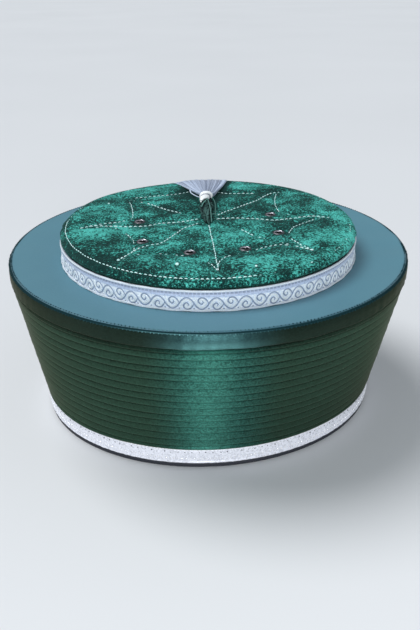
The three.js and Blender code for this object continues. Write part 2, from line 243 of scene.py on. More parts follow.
def share_up(height):
    """0 at the top of the lower braid and 1 where the ring is fullest."""
    return np.clip((height - BRAID_TOP) / (FULLEST - BRAID_TOP), 0, 1)


def side_width(height):
    """Half of the side's width, along the long way of the head, at a height."""
    return FOOT_WIDTH + (RIM_WIDTH - FOOT_WIDTH) * share_up(height)


def depth_ratio(height):
    """How deep the hat is against its width at a height."""
    depth = FOOT_DEPTH + (RIM_WIDTH - FOOT_DEPTH) * share_up(height)
    return depth / side_width(height)


def round_turned(radius, height, columns):
    """True circles of points, from a radius and a height for each row, or for each row and column."""
    radius, height, angle = np.broadcast_arrays(radius, height, all_round(columns))
    return np.stack([radius * np.cos(angle), radius * np.sin(angle), height], axis=-1)


def turned(radius, height, columns):
    """The same circles, as oval as the hat is at their height."""
    rings = round_turned(radius, height, columns)
    rings[..., 1] *= depth_ratio(rings[..., 2])
    return rings


def column(values):
    """A list as one value for each row, which then goes with any number of columns."""
    return np.asarray(values, float)[:, None]


print("foot", FOOT_WIDTH, "by", FOOT_DEPTH, "rim", RIM_WIDTH, "braid top", BRAID_TOP)


# %% Smooth lines through a few points, and lines beside them
def smooth_line(points, steps):
    """A smooth line through a few points, with this many steps between each two of them."""
    points = np.asarray(points, float)
    before = np.concatenate([[2 * points[0] - points[1]], points[:-1]])
    after = np.concatenate([points[1:], [2 * points[-1] - points[-2]]])
    slope = (after - before) / 2
    share = np.linspace(0, 1, steps + 1)[:-1, None]
    nearer = share**2 * (3 - 2 * share)
    leaving = share**3 - 2 * share**2 + share
    arriving = share**3 - share**2
    pieces = []
    for i in range(len(points) - 1):
        between = points[i] * (1 - nearer) + points[i + 1] * nearer
        pieces.append(between + slope[i] * leaving + slope[i + 1] * arriving)
    pieces.append(points[-1:])
    return np.concatenate(pieces)


def beside(line, distance):
    """The same [radius, height] line, moved to its right by a distance."""
    way = unit(np.gradient(line, axis=0))
    return line + distance * np.stack([way[:, 1], -way[:, 0]], axis=-1)


def uneven(angle, size, seed, coarsest=2, finest=14):
    """A line round the hat that wavers smoothly and meets its own start, at most about size high."""
    random = np.random.default_rng(seed)
    total = 0 * angle
    for waves in range(coarsest, finest):
        total = total + random.normal() * np.sin(waves * angle + random.uniform(0, 2 * math.pi))
    return size * total / math.sqrt(finest - coarsest)


# %% [markdown]
# A material is a small program made of nodes. Writing it as sums in Python keeps it readable: a wire stands
# for one output socket, and adding or multiplying wires adds the Math nodes that do it. Colours are mixed by
# a Mix node, because a Math node would turn them grey.

# %% Materials as sums
class Wire:
    """An output socket that can be used in sums. A wire with no socket only knows its node tree."""

    def __init__(self, tree, socket=None):
        self.tree = tree
        self.socket = socket

    def node(self, kind, settings=None, inputs=None, output=0):
        """Adds a node, with its settings first and then the values or wires of its sockets."""
        made = self.tree.nodes.new(kind)
        for name, value in (settings or {}).items():
            setattr(made, name, value)
        for name, value in (inputs or {}).items():
            if isinstance(value, Wire):
                self.tree.links.new(value.socket, made.inputs[name])
            else:
                made.inputs[name].default_value = value
        return Wire(self.tree, made.outputs[output])

    def math(self, operation, *values):
        return self.node("ShaderNodeMath", {"operation": operation}, dict(enumerate(values)))

    def __add__(self, other):
        return self.math("ADD", self, other)

    __radd__ = __add__

    def __sub__(self, other):
        return self.math("SUBTRACT", self, other)

    def __rsub__(self, other):
        return self.math("SUBTRACT", other, self)

    def __mul__(self, other):
        return self.math("MULTIPLY", self, other)

    __rmul__ = __mul__

    def sine(self):
        return self.math("SINE", self)

    def size(self):
        """The same number without its sign."""
        return self.math("ABSOLUTE", self)

    def ramp(self, low, high, smooth=True):
        """0 up to low, 1 from high, and a smooth change between them."""
        kind = "SMOOTHSTEP" if smooth else "LINEAR"
        inputs = {"Value": self, "From Min": low, "From Max": high}
        return self.node("ShaderNodeMapRange", {"interpolation_type": kind}, inputs)

    def choose(self, low_colour, high_colour):
        """A colour that goes from the first to the second as this wire goes from 0 to 1."""
        inputs = {0: self, 6: opaque(low_colour), 7: opaque(high_colour)}
        return self.node("ShaderNodeMix", {"data_type": "RGBA"}, inputs, output=2)


def opaque(colour):
    return colour if isinstance(colour, Wire) else (*colour, 1.0)


# %% One start for every material
class Finish:
    """A material with one Principled shader, whose plain values are set on the shader itself."""

    def __init__(self, name, **values):
        self.material = bpy.data.materials.new(name)
        self.material.use_nodes = True
        self.tree = self.material.node_tree
        self.shader = self.tree.nodes["Principled BSDF"]
        self.start = Wire(self.tree)
        for socket, value in values.items():
            self.shader.inputs[socket.replace("_", " ")].default_value = value
        metres = self.start.node("ShaderNodeTexCoord", output="Object")
        self.place = self.start.node(
            "ShaderNodeVectorMath", {"operation": "SCALE"}, {0: metres, "Scale": 1 / MM}
        )

    def noise(self, scale, detail=2.0, distortion=0.0, stretch=None, roughness=0.5):
        """Soft random clouds. Scale is in clouds for each millimetre."""
        place = self.place
        if stretch:
            place = self.start.node(
                "ShaderNodeVectorMath", {"operation": "MULTIPLY"}, {0: self.place, 1: stretch}
            )
        inputs = {
            "Vector": place,
            "Scale": scale,
            "Detail": detail,
            "Distortion": distortion,
            "Roughness": roughness,
        }
        return self.start.node("ShaderNodeTexNoise", None, inputs)

    def axis(self, name):
        return self.start.node("ShaderNodeSeparateXYZ", None, {"Vector": self.place}, output=name)

    def angle(self):
        """The angle round the hat, in radians."""
        return self.start.math("ARCTAN2", self.axis("Y"), self.axis("X"))

    def attribute(self, name):
        return self.start.node("ShaderNodeAttribute", {"attribute_name": name}, output="Fac")

    def feed(self, socket, wire):
        self.tree.links.new(wire.socket, self.shader.inputs[socket])

    def bump(self, height, depth_mm, strength=1.0):
        inputs = {"Strength": strength, "Distance": depth_mm * MM, "Height": height}
        self.feed("Normal", self.start.node("ShaderNodeBump", None, inputs, output="Normal"))

    def on(self, *pieces):
        for piece in pieces:
            piece.data.materials.clear()
            piece.data.materials.append(self.material)
        print("material", self.material.name, "on", ", ".join(piece.name for piece in pieces))


# %% [markdown]
# The floor and the light are a plain studio: a wide pale floor, a weak even sky, a broad soft light from
# above and one lamp low in front. The light from above is a sun lamp with a wide angle, because it lights
# the floor evenly however far it goes. The front lamp is narrow, so that the satin, whose threads run round
# the hat, answers it with one soft upright gleam.

# %% Floor, sky and lamps
FLOOR_HALF = 20.0
SKY_COLOUR = (0.84, 0.92, 1.0, 1.0)
SKY_STRENGTH = 0.42
LAMPS_AIM = Vector((0, 0, 0.06))
scene = bpy.context.scene
scene.view_settings.view_transform = "Standard"

floor_mesh = bpy.data.meshes.new("floor")
floor_corners = [(x * FLOOR_HALF, y * FLOOR_HALF, 0) for x, y in ((-1, -1), (1, -1), (1, 1), (-1, 1))]
floor_mesh.from_pydata(floor_corners, [], [(0, 1, 2, 3)])
floor = bpy.data.objects.new("floor", floor_mesh)
scene.collection.objects.link(floor)
floor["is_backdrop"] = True
floor_finish = Finish("pale_floor", Roughness=0.9)
floor_tone = floor_finish.noise(0.002)
floor_finish.feed("Base Color", floor_tone.choose((0.70, 0.71, 0.72), (0.76, 0.77, 0.78)))
floor_finish.on(floor)

world = bpy.data.worlds.new("sky")
scene.world = world
world.use_nodes = True
world.node_tree.nodes["Background"].inputs["Color"].default_value = SKY_COLOUR
world.node_tree.nodes["Background"].inputs["Strength"].default_value = SKY_STRENGTH


def add_lamp(kind, name, place, strength, colour, **sizes):
    """A lamp that faces the middle of the hat."""
    data = bpy.data.lights.new(name, kind)
    data.energy = strength
    data.color = colour
    for setting, value in sizes.items():
        setattr(data, setting, value)
    lamp = bpy.data.objects.new(name, data)
    lamp.location = place
    lamp.rotation_mode = "QUATERNION"
    lamp.rotation_quaternion = (LAMPS_AIM - Vector(place)).to_track_quat("-Z", "Y")
    scene.collection.objects.link(lamp)
    print("lamp", name, strength)


add_lamp("SUN", "light_from_above", (-0.5, 0.35, 1.2), 2.1, (0.97, 0.98, 1.0), angle=math.radians(35))
add_lamp("AREA", "front_lamp", (-0.20, -1.2, 0.25), 8.5, (1, 1, 1), shape="RECTANGLE", size=0.28, size_y=0.5)

# %% [markdown]
# The cap is the part that the head goes into. It only shows from below, as black cloth over a stiffener. A
# turned profile with rounded corners gives it, with both of its faces, so that it stays a closed body.

# %% The cap
CAP_COLUMNS = 180
CAP_LINE_MM = [
    (0.0, 102.0), (60.0, 102.0), (82.5, 101.8), (85.4, 99.8), (85.8, 95.0), (92.5, 48.0), (97.8, 8.0),
    (98.4, 3.4), (98.7, 2.9), (100.2, 2.9), (100.4, 3.4), (99.8, 8.0), (94.0, 49.0), (87.2, 95.0),
    (87.0, 102.6), (86.0, 103.9), (60.0, 104.0), (0.0, 104.0),
]


def turned_body(name, line, columns):
    """A turned body whose line starts and ends on the axis."""
    inner = line[1:-1]
    points = turned(column(inner[:, 0]), column(inner[:, 1]), columns).reshape(-1, 3)
    ends = [[0, 0, line[0][1]], [0, 0, line[-1][1]]]
    faces = fanned_faces(len(inner), columns)
    return add_object(name, np.concatenate([points, ends]), faces)


cap = turned_body("cap_cloth", smooth_line(CAP_LINE_MM, 3) * MM, CAP_COLUMNS)
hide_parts("inner_cap")

# %% [markdown]
# Cap cloth is a plain weave. One thread is about half a millimetre wide, too fine to build, so the weave is
# bump: two sets of waves, one round the hat and one up it, under a little fluff.

# %% Black cloth
THREADS_ROUND = 1500
THREADS_UP = 11.0
black_cloth = Finish("black_cloth", Roughness=0.85, Sheen_Weight=0.25, Sheen_Roughness=0.5)
cloth_threads = (black_cloth.angle() * THREADS_ROUND).sine() * 0.5
cloth_rows = (black_cloth.axis("Z") * THREADS_UP).sine() * 0.5
fluff = black_cloth.noise(1.2, detail=4)
black_cloth.bump(cloth_threads + cloth_rows + fluff, 0.06)
black_cloth.feed("Base Color", fluff.ramp(0.3, 0.7).choose((0.016, 0.017, 0.021), (0.036, 0.037, 0.044)))
black_cloth.on(cap)

# %% [markdown]
# The bound edge is what the hat stands on: a black ribbed tape folded over the raw edge. Its ribs are big
# enough to see from near by, so they are real waves in the mesh, about one every millimetre and a half.

# %% The bound edge
EDGE_COLUMNS = 900
EDGE_INSIDE = 98.1 * MM
EDGE_TUCK = 0.35 * MM
EDGE_CORNER = 0.8 * MM
RIBS = 450
RIB_HEIGHT = 0.09 * MM


def turned_ring(name, line, columns, radius_change=0, height_change=0):
    """A ring whose line closes on itself."""
    points = turned(column(line[:, 0]) + radius_change, column(line[:, 1]) + height_change, columns)
    return add_object(name, points, grid_faces(len(line), columns, close_rows=True))


def round_box(low_radius, high_radius, low, high, corner, steps=4):
    """The closed line of a box with round corners, as [radius, height] points."""
    turn = np.linspace(0, math.pi / 2, steps)
    corners = []
    for radius, height, start in [
        (high_radius - corner, low + corner, -math.pi / 2),
        (high_radius - corner, high - corner, 0),
        (low_radius + corner, high - corner, math.pi / 2),
        (low_radius + corner, low + corner, math.pi),
    ]:
        way = np.stack([np.cos(start + turn), np.sin(start + turn)], axis=-1)
        corners.append(np.array([radius, height]) + corner * way)
    return np.concatenate(corners)


edge_outer = outer("edge_binding")
edge_line = round_box(EDGE_INSIDE, edge_outer.x, 0.0, edge_outer.z + EDGE_TUCK, EDGE_CORNER)
edge_ribs = RIB_HEIGHT * np.sin(RIBS * all_round(EDGE_COLUMNS))
is_outside = column(edge_line[:, 0] > edge_line[:, 0].mean())
edge_lumps = is_outside * (edge_ribs - RIB_HEIGHT)
bound_edge = turned_ring("bound_edge", edge_line, EDGE_COLUMNS, edge_lumps)
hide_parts("edge_binding")

# %% [markdown]
# The binding's cloth is a little finer and darker than the cap's. The ribs already catch the light, so its
# finish needs only fluff: one noise gives the colour and the bump.

# %% Black binding
black_binding = Finish("black_binding", Roughness=0.7, Sheen_Weight=0.06, Sheen_Roughness=0.4)
edge_fluff = black_binding.noise(2.0, detail=3)
black_binding.feed("Base Color", edge_fluff.choose((0.006, 0.008, 0.014), (0.018, 0.022, 0.034)))
black_binding.bump(edge_fluff, 0.08)
black_binding.on(bound_edge)

# %% [markdown]
# The side of the ring is one long piece of satin, folded again and again so that its narrow pleats lie over
# each other like roof boards. The folded edge of each stands proud and throws a thin dark line on the next
# one. Bump can't cast that line, so the folds are real: ten rows of points for each pleat. A hand laid
# them, so each fold wavers a little in height and in how far it stands out. A number for each point keeps
# how far down its pleat it is and sets painted light: painted shade in the groove under the fold above, a
# painted highlight on the fold's stretched edge, and painted shade over the whole fold under the lip.

# %% The pleats' folded edges, from the top down
WRAP_COLUMNS = 380
FOLD_EDGES_MM = [89.0, 86.5, 82.3, 76.9, 72.3, 67.6, 61.9, 56.7, 52.0]
FOLD_EDGES_MM += [47.1, 41.8, 37.0, 32.0, 26.9, 21.4, 16.1, 12.5]
UNDER_LIP = 88 * MM
FOLD_WAVER = 0.16 * MM
FOLD_STAND = 0.10 * MM
# One fold: how far out each row of points lies, how far down from the fold's top or up from its foot, both
# in millimetres, and its tone: painted shade near the top under the fold above, a painted highlight at the
# foot
FOLD_TOP_ROWS = [
    {"out": -1.35, "down": -0.10, "tone": 0.0},
    {"out": -0.75, "down": 0.12, "tone": 0.05},
    {"out": -0.25, "down": 0.60, "tone": 0.12},
    {"out": 0.04, "down": 1.60, "tone": 0.45},
]
FOLD_FOOT_ROWS = [
    {"out": 0.30, "up": 1.45, "tone": 0.65},
    {"out": 0.46, "up": 0.80, "tone": 0.9},
    {"out": 0.50, "up": 0.45, "tone": 1.0},
    {"out": 0.42, "up": 0.16, "tone": 0.8},
    {"out": 0.12, "up": 0.00, "tone": 0.3},
    {"out": -0.50, "up": 0.08, "tone": 0.0},
]

wrap_angle = all_round(WRAP_COLUMNS)
flat_row = np.ones(WRAP_COLUMNS)
print(len(FOLD_EDGES_MM) - 1, "folds, the last one down to", FOLD_EDGES_MM[-1], "mm")


# %% The pleated side
def fold_rows(top, foot, seed):
    """Radius, height and tone, for each row and column, of one fold. The tone is painted light, and the fold
    under the lip gets painted shade.
    """
    # Painted shade: the whole fold under the lip is painted darker.
    light = flat_row * (0.3 if top > UNDER_LIP else 1.0)
    waver = uneven(wrap_angle, FOLD_WAVER, seed)
    proud = uneven(wrap_angle, FOLD_STAND, seed + 100)
    top_waver = uneven(wrap_angle, FOLD_WAVER, seed - 1)
    most = 0.4 * (top - foot)
    rows = []
    for row in FOLD_TOP_ROWS:
        height = top - min(row["down"] * MM, most) + top_waver
        rows.append((side_width(height) + row["out"] * MM, height, row["tone"] * light))
    for row in FOLD_FOOT_ROWS:
        height = foot + min(row["up"] * MM, most) + waver
        rows.append((side_width(height) + row["out"] * MM + proud, height, row["tone"] * light))
    return rows


satin_rows = []
for i in range(len(FOLD_EDGES_MM) - 1):
    satin_rows += fold_rows(FOLD_EDGES_MM[i] * MM, FOLD_EDGES_MM[i + 1] * MM, seed=10 + i)

# The ring's inside, from its foot up the cap and out under the ledge, as radius and height, in the darkest
# painted shade
WRAP_INSIDE_MM = [
    (104.2, 11.9), (104.2, 2.9), (100.9, 2.9), (94.5, 48.0), (88.0, 93.4), (100.0, 94.9), (112.0, 96.4),
    (117.3, 96.6), (117.9, 93.0), (117.9, 89.4),
]
for radius, height in WRAP_INSIDE_MM:
    satin_rows.append((radius * MM * flat_row, height * MM * flat_row, 0 * flat_row))
satin_radius, satin_height, satin_tone = (np.array([row[k] for row in satin_rows]) for k in range(3))
wrap_points = turned(satin_radius, satin_height, WRAP_COLUMNS)
wrap_faces = grid_faces(len(satin_rows), WRAP_COLUMNS, close_rows=True)
pleats = add_object("pleated_satin", wrap_points, [face[::-1] for face in wrap_faces])
keep_attribute(pleats, "tone", satin_tone)
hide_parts("pleated_wrap")

# %% [markdown]
# Satin shines because its threads float over many others without bending, so light runs along them as on
# brushed metal. A Principled shader shows that with a large metallic share, which tints the gleam with the
# cloth's own colour, and with anisotropy, which draws the gleam out upright on threads that run round.
# A little dusty sheen keeps the parts that the gleam doesn't reach from going black.
# The gleam is also painted into the base colour: teal up the front of the hat, olive at its sides.

# %% Green satin
# Where the lamp's gleam is painted into the base colour as teal, in millimetres to either side of a middle,
# and a little askew
GLEAM_MIDDLE = 3
GLEAM_FULL = 10
GLEAM_END = 38
GLEAM_ACROSS = {"X": 0.98, "Y": 0.19}


def satin_finish(name, dust=0.08):
    """A satin that gleams upright, and a wire that is 1 up the front of the hat, where the lamp's gleam is
    painted in, and 0 at its sides.
    """
    metal = {"Metallic": 0.85, "Roughness": 0.42, "Anisotropic": 0.9, "Anisotropic_Rotation": 0.25}
    sheen = {"Sheen_Weight": dust, "Sheen_Roughness": 0.6, "Sheen_Tint": (0.80, 0.70, 0.55, 1.0)}
    finish = Finish(name, Specular_Tint=(0.42, 0.45, 0.38, 1.0), **metal, **sheen)
    across = finish.axis("X") * GLEAM_ACROSS["X"] - finish.axis("Y") * GLEAM_ACROSS["Y"]
    sideways = (across - GLEAM_MIDDLE).size()
    painted_gleam = (1 - sideways.ramp(GLEAM_FULL, GLEAM_END)) * (finish.axis("Y") * -1).ramp(20, 60)
    return finish, painted_gleam


green_satin, satin_painted_gleam = satin_finish("green_satin")
satin_grain = green_satin.noise(1.0, detail=5, roughness=0.75)
satin_cloud = green_satin.noise(0.04, detail=3)
satin_tone = green_satin.attribute("tone")
satin_speckle = satin_grain.ramp(0.36, 0.64) * (satin_painted_gleam * 0.4 + 0.36) - satin_painted_gleam * 0.16
satin_mask = satin_speckle + satin_cloud * 0.13 + satin_tone * 0.45
# Painted shade in the groove under each fold, strongest in front.
groove = 1 - satin_tone.ramp(0.05, 0.42)
satin_mask = satin_mask * (1 - groove * (satin_painted_gleam * 0.5 + 0.3))
# Olive at the sides; teal where the lamp's gleam is painted in, as a painted highlight.
olive = satin_mask.choose((0.004, 0.012, 0.007), (0.042, 0.124, 0.082))
teal = satin_mask.choose((0.002, 0.026, 0.021), (0.040, 0.176, 0.142))
green_satin.feed("Base Color", satin_painted_gleam.choose(olive, teal))
green_satin.bump(satin_grain, 0.12, strength=0.6)
green_satin.on(pleats)

# %% [markdown]
# The top of the ring is one smooth ring of satin. It rises gently outwards, turns over at a stitched crease
# and ends in a plain band with a folded lip. The line is drawn with a few points, smoothed, and given
# the cloth's thickness by a second line beside it. The lip's seam puckers the band a little.

# %% The ledge
LEDGE_COLUMNS = 560
LEDGE_THICKNESS = 1.2 * MM
LEDGE_WAVER = 0.16 * MM
LIP_PUCKER = 0.11 * MM
LEDGE_LINE_MM = [
    (87.7, 95.0), (96.0, 96.05), (106.0, 97.45), (113.5, 98.45), (117.2, 98.95), (118.25, 98.85),
    (118.55, 98.25), (119.05, 97.75), (119.45, 96.5), (119.68, 94.8), (119.7, 92.8), (119.7, 91.0),
    (119.6, 89.95), (119.2, 89.45),
]
ledge_line = smooth_line(LEDGE_LINE_MM, 3) * MM
ledge_under = beside(ledge_line, LEDGE_THICKNESS)
ledge_under[0] = ledge_line[0] - (0, LEDGE_THICKNESS)
ledge_under[-1] = ledge_line[-1] - (LEDGE_THICKNESS, 0)
ledge_closed = np.concatenate([ledge_line, ledge_under[::-1]])
ledge_angle = all_round(LEDGE_COLUMNS)
ledge_radius = ledge_closed[:, 0] / MM
ledge_height = ledge_closed[:, 1] / MM
# The ledge wavers more and more from the braid outwards, and the puckers are deepest at the lip
ledge_far = column((ledge_radius - 90) / 30).clip(0, 1)
ledge_waver = ledge_far * uneven(ledge_angle, LEDGE_WAVER, seed=5, coarsest=3, finest=30)
is_band = (ledge_height < 97.6) & (ledge_radius > 117.5)
band_share = column(is_band * (0.35 + 0.65 * (ledge_height < 91.5)))
lip_puckers = band_share * uneven(ledge_angle, LIP_PUCKER, seed=8, coarsest=25, finest=120)
ledge = turned_ring("ledge_satin", ledge_closed, LEDGE_COLUMNS, lip_puckers, ledge_waver)
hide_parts("ledge_cover")

# %% [markdown]
# The crease is held by an overlock stitch: two dark threads lie along the fold, and small loops of the
# satin's own colour cross it in two rows. They are tiny, but they break the hard line of the rim, so each
# loop is a real small body. In front, where the front lamp glints on them, the loops and the lower thread
# are painted pale, a painted highlight.

# %% The stitches over the crease
CREASE_STITCHES = 374
CREASE_COLUMNS = 480
CREASE_LOOP = np.array([0.5, 0.36, 0.42]) * MM
# The side where the front lamp glints on the stitches, painted in as a pale highlight, and how fast it fades
GLINT_SIDE = math.radians(-106)
GLINT_FALL = 36
crease_random = np.random.default_rng(21)
crease_heap = Heap()
for row in (
    {"radius": 117.75, "height": 98.95, "shift": 0.0, "tone": 0.85},
    {"radius": 119.15, "height": 97.8, "shift": 0.5, "tone": 0.9},
):
    for i in range(CREASE_STITCHES):
        turn = 2 * math.pi * (i + row["shift"] + crease_random.uniform(-0.12, 0.12)) / CREASE_STITCHES
        size = crease_random.uniform(0.75, 1.1)
        body, faces = bead((row["radius"] * MM, 0, row["height"] * MM), CREASE_LOOP * size, rows=5, sides=6)
        # Painted highlight: loops that face the front lamp are painted pale.
        paleness = 0.04 + 0.8 * max(0, math.cos(turn - GLINT_SIDE)) ** GLINT_FALL
        crease_heap.add(swung(body, turn), faces, tone=row["tone"] * paleness * crease_random.uniform(0.4, 1.3))
crease_angle = all_round(CREASE_COLUMNS)
# Painted highlight on the lower thread in front; the upper thread stays dark.
lower_glint = 0.4 * np.maximum(0, np.cos(crease_angle - GLINT_SIDE)) ** GLINT_FALL
for radius, height, thick, paleness in ((118.55, 98.4, 0.4, 0 * lower_glint), (118.9, 97.9, 0.3, lower_glint)):
    line = turned(radius * MM, height * MM, CREASE_COLUMNS)
    crease_heap.add(*closed_tube(line, thick * MM, (0, 0, 1)), tone=np.repeat(paleness, 6))
crease_stitches = crease_heap.make("crease_stitches")

# %% Thread over the crease
crease_thread = Finish("crease_thread", Roughness=0.8, Specular_IOR_Level=0.1)
# The pale end of this colour is the painted highlight in front.
crease_tone = crease_thread.attribute("tone")
crease_thread.feed("Base Color", crease_tone.choose((0.004, 0.026, 0.032), (0.15, 0.36, 0.38)))
crease_thread.on(crease_stitches)

# %% [markdown]
# The ledge is the same dark green satin as the side, but it faces up and mirrors the sky, so its pale teal
# is a painted reflection of the sky. The soft light from above falls on it evenly, and it looks calm. A
# finish that gleams like the pleats would be restless here, so this one is only slightly metallic, with a
# fine grain.
# Near the crease the cloth turns over, and its colour is painted darker there as painted shade. Its distance
# from the hat's middle gives that edge.

# %% Pale teal satin on the flat top, its colour a painted reflection of the sky
teal_satin = Finish("teal_satin", Metallic=0.25, Roughness=0.5, Sheen_Weight=0.1, Sheen_Roughness=0.5)
teal_grain = teal_satin.noise(1.5, detail=5, roughness=0.7)
teal_cloud = teal_satin.noise(0.03, detail=2)
teal_mask = teal_grain.ramp(0.3, 0.7) * 0.5 + teal_cloud * 0.5
teal_x = teal_satin.axis("X")
teal_y = teal_satin.axis("Y")
# Painted shade: the colour darkens towards the crease, where the cloth turns over.
outer_edge = (teal_x * teal_x + teal_y * teal_y).ramp(116.6**2, 118.0**2)
# The pale teal is the sky's reflection, painted into the base colour of the green satin.
flat_colour = teal_mask.choose((0.068, 0.215, 0.285), (0.092, 0.27, 0.34))
teal_satin.feed("Base Color", outer_edge.choose(flat_colour, (0.035, 0.12, 0.16)))
teal_satin.bump(teal_grain, 0.1, strength=0.5)
teal_satin.on(ledge)

# %% [markdown]
# Below the crease the same cloth hangs upright, so it answers the front lamp like the pleats do. It gets a
# second finish on the same mesh: the faces outside the crease take it. Short upright streaks, in the bump
# and painted into the colour as light and shade, stand for the small puckers that the lip's seam pulls into
# the band. The lamp's gleam is painted in up the front, and a painted highlight brightens the band near its
# lip.

# %% Satin on the upright band
BAND_RADIUS = 118.2 * MM
BAND_TOP = 98.7 * MM
band_satin, band_painted_gleam = satin_finish("band_satin", dust=0.05)
band_streaks = band_satin.noise(0.3, detail=3, stretch=(1.0, 1.0, 0.3))
band_cloud = band_satin.noise(0.09, detail=2)
band_grain = band_satin.noise(1.0, detail=5, roughness=0.75)
# Painted highlight: the band is painted lighter towards its bulging lip, most in front.
lip_light = 1 - band_satin.axis("Z").ramp(90.5, 95.5)
streaked = band_streaks.ramp(0.3, 0.7) * 0.10 + band_cloud.ramp(0.3, 0.7) * 0.08 + 0.06
band_mask = streaked * (band_painted_gleam * 0.4 + 0.3) + band_grain.ramp(0.3, 0.7) * 0.22
band_mask = band_mask + lip_light * (band_painted_gleam * 0.5 + 0.1)
olive = band_mask.choose((0.009, 0.020, 0.014), (0.036, 0.085, 0.064))
teal = band_mask.choose((0.012, 0.040, 0.046), (0.075, 0.205, 0.205))
band_satin.feed("Base Color", band_painted_gleam.choose(olive, teal))
band_satin.bump(band_streaks * 0.8 + band_grain, 0.12, strength=0.6)
ledge.data.materials.append(band_satin.material)
for face in ledge.data.polygons:
    if (face.center.xy.length > BAND_RADIUS) and (face.center.z < BAND_TOP):
        face.material_index = 1

# %% [markdown]
# The braid at the foot is a silver white trimming with a soft glitter. Its upper edge is a row of small
# loops, under them lies a row of small gaps, and near the lower edge runs a string of tiny beads. The tape
# itself is a turned band with low ridges; the loops, gaps and beads are small bodies set round it.

# %% The lower braid's tape
BRAID_COLUMNS = 640
BRAID_DEPTH = 1.1 * MM
FACE_INSET = 0.36 * MM
TAPE_LUMPS = 0.10 * MM
tape_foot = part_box("lower_braid")[0].z + 0.1 * MM
# How far out and how far up the tape's face lies
TAPE_FACE_MM = [
    (0.00, 0.0), (0.28, 0.25), (0.36, 0.7), (0.22, 1.1), (-0.02, 1.4), (0.08, 1.7), (-0.02, 2.0),
    (0.06, 2.4), (0.00, 4.2), (0.10, 5.2), (0.02, 6.2), (0.14, 7.2), (0.06, 8.0), (0.10, 8.5),
    (-0.2, 9.0),
]


def place_on_oval(turn, radius, height):
    """A point on one of the hat's rings."""
    return np.array([radius * math.cos(turn), radius * math.sin(turn) * depth_ratio(height), height])


tape_face = np.array([(FOOT_WIDTH - FACE_INSET, tape_foot)]) + np.array(TAPE_FACE_MM) * MM
tape_back = [(FOOT_WIDTH - BRAID_DEPTH, tape_face[-1][1]), (FOOT_WIDTH - BRAID_DEPTH, tape_foot)]
tape_line = np.concatenate([tape_face, tape_back])
tape_angle = all_round(BRAID_COLUMNS)
is_face = column(np.arange(len(tape_line)) < len(tape_face))
tape_lumps = is_face * uneven(tape_angle, TAPE_LUMPS, 31, 40, 200)
tape = turned_ring("lower_braid_tape", tape_line, BRAID_COLUMNS, tape_lumps)
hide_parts("lower_braid")

# %% Loops, gaps and beads of the lower braid
LOOPS = 284
BEADS = 288
GAPS = 168
LOOP_HEIGHT = 0.5 * MM
LOOP_THREAD = 0.30 * MM
LOOP_INSET = 0.42 * MM
BEAD_INSET = 0.4 * MM
GAPS_SEEN = 0.92
GAP_HALF_SIZES = np.array([0.45, 0.7, 0.32]) * MM
BEAD_HALF_SIZES = np.array([0.56, 0.56, 0.6]) * MM
FIRST_BEAD = math.radians(-94.4)
BEAD_LEVEL = tape_foot + 3.2 * MM
LOOP_LEVEL = tape_foot + 8.75 * MM
GAP_LEVEL = tape_foot + 7.3 * MM
braid_random = np.random.default_rng(33)
loops = Heap()
for i in range(LOOPS):
    middle = 2 * math.pi * i / LOOPS
    half = math.pi / LOOPS * braid_random.uniform(0.8, 1.0)
    tall = LOOP_HEIGHT * braid_random.uniform(0.5, 1.2)
    line = [
        place_on_oval(middle + half * s, FOOT_WIDTH - LOOP_INSET, LOOP_LEVEL + tall * (1 - s * s))
        for s in np.linspace(-1, 1, 7)
    ]
    way = (math.cos(middle), math.sin(middle), 0)
    loops.add(*tube(line, LOOP_THREAD, way, sides=5), tone=braid_random.uniform(0.6, 1.0))
# The gaps are small dark bodies: their dark is the satin under the holes together with painted shade in
# them.
for i in range(GAPS):
    turn = 2 * math.pi * (i + braid_random.uniform(-0.12, 0.12)) / GAPS
    if braid_random.random() < GAPS_SEEN:
        place = place_on_oval(turn, FOOT_WIDTH - FACE_INSET, GAP_LEVEL + braid_random.normal(0, 0.12) * MM)
        loops.add(*bead(place, GAP_HALF_SIZES * braid_random.uniform(0.6, 1.1)), tone=0.0)
braid_loops = loops.make("lower_braid_loops")

beads = Heap()
for i in range(BEADS):
    turn = FIRST_BEAD + 2 * math.pi * i / BEADS
    size = braid_random.uniform(0.92, 1.06)
    place = place_on_oval(turn, FOOT_WIDTH - BEAD_INSET, BEAD_LEVEL)
    beads.add(*bead(place, BEAD_HALF_SIZES * size), tone=braid_random.random())
braid_beads = beads.make("lower_braid_beads")

# %% [markdown]
# The braid's glitter is many small flakes, each of which catches the light from another side. The cells of a
# Voronoi texture stand for them: each cell has its own colour and its own roughness, so that it sparkles
# or not. The loops are plain bright thread, and the beads have a clear glossy coat.

# %% Soft glitter
glitter = Finish("glitter_braid", Metallic=0.1, Roughness=0.4, Sheen_Weight=0.2)
flakes = glitter.start.node(
    "ShaderNodeTexVoronoi", {"feature": "F1"}, {"Vector": glitter.place, "Scale": 1.1}, output="Color"
)
flake = glitter.start.node("ShaderNodeSeparateColor", None, {"Color": flakes})
glitter_grain = glitter.noise(1.3, detail=4, roughness=0.7)
glitter_mask = flake * 0.35 + glitter_grain * 0.65
glitter.feed("Base Color", glitter_mask.ramp(0.2, 0.7).choose((0.61, 0.63, 0.70), (0.80, 0.82, 0.90)))
glitter.feed("Roughness", flake * 0.3 + 0.2)
glitter.bump(glitter_mask, 0.15, strength=0.4)
glitter.on(tape)

loop_finish = Finish("silver_loop", Metallic=0.1, Roughness=0.4, Sheen_Weight=0.2)
# Tone 0 is the gaps' dark, partly painted shade; the loops' tones differ at random.
loop_finish.feed("Base Color", loop_finish.attribute("tone").choose((0.16, 0.17, 0.20), (0.97, 0.98, 1.0)))
loop_finish.on(braid_loops)

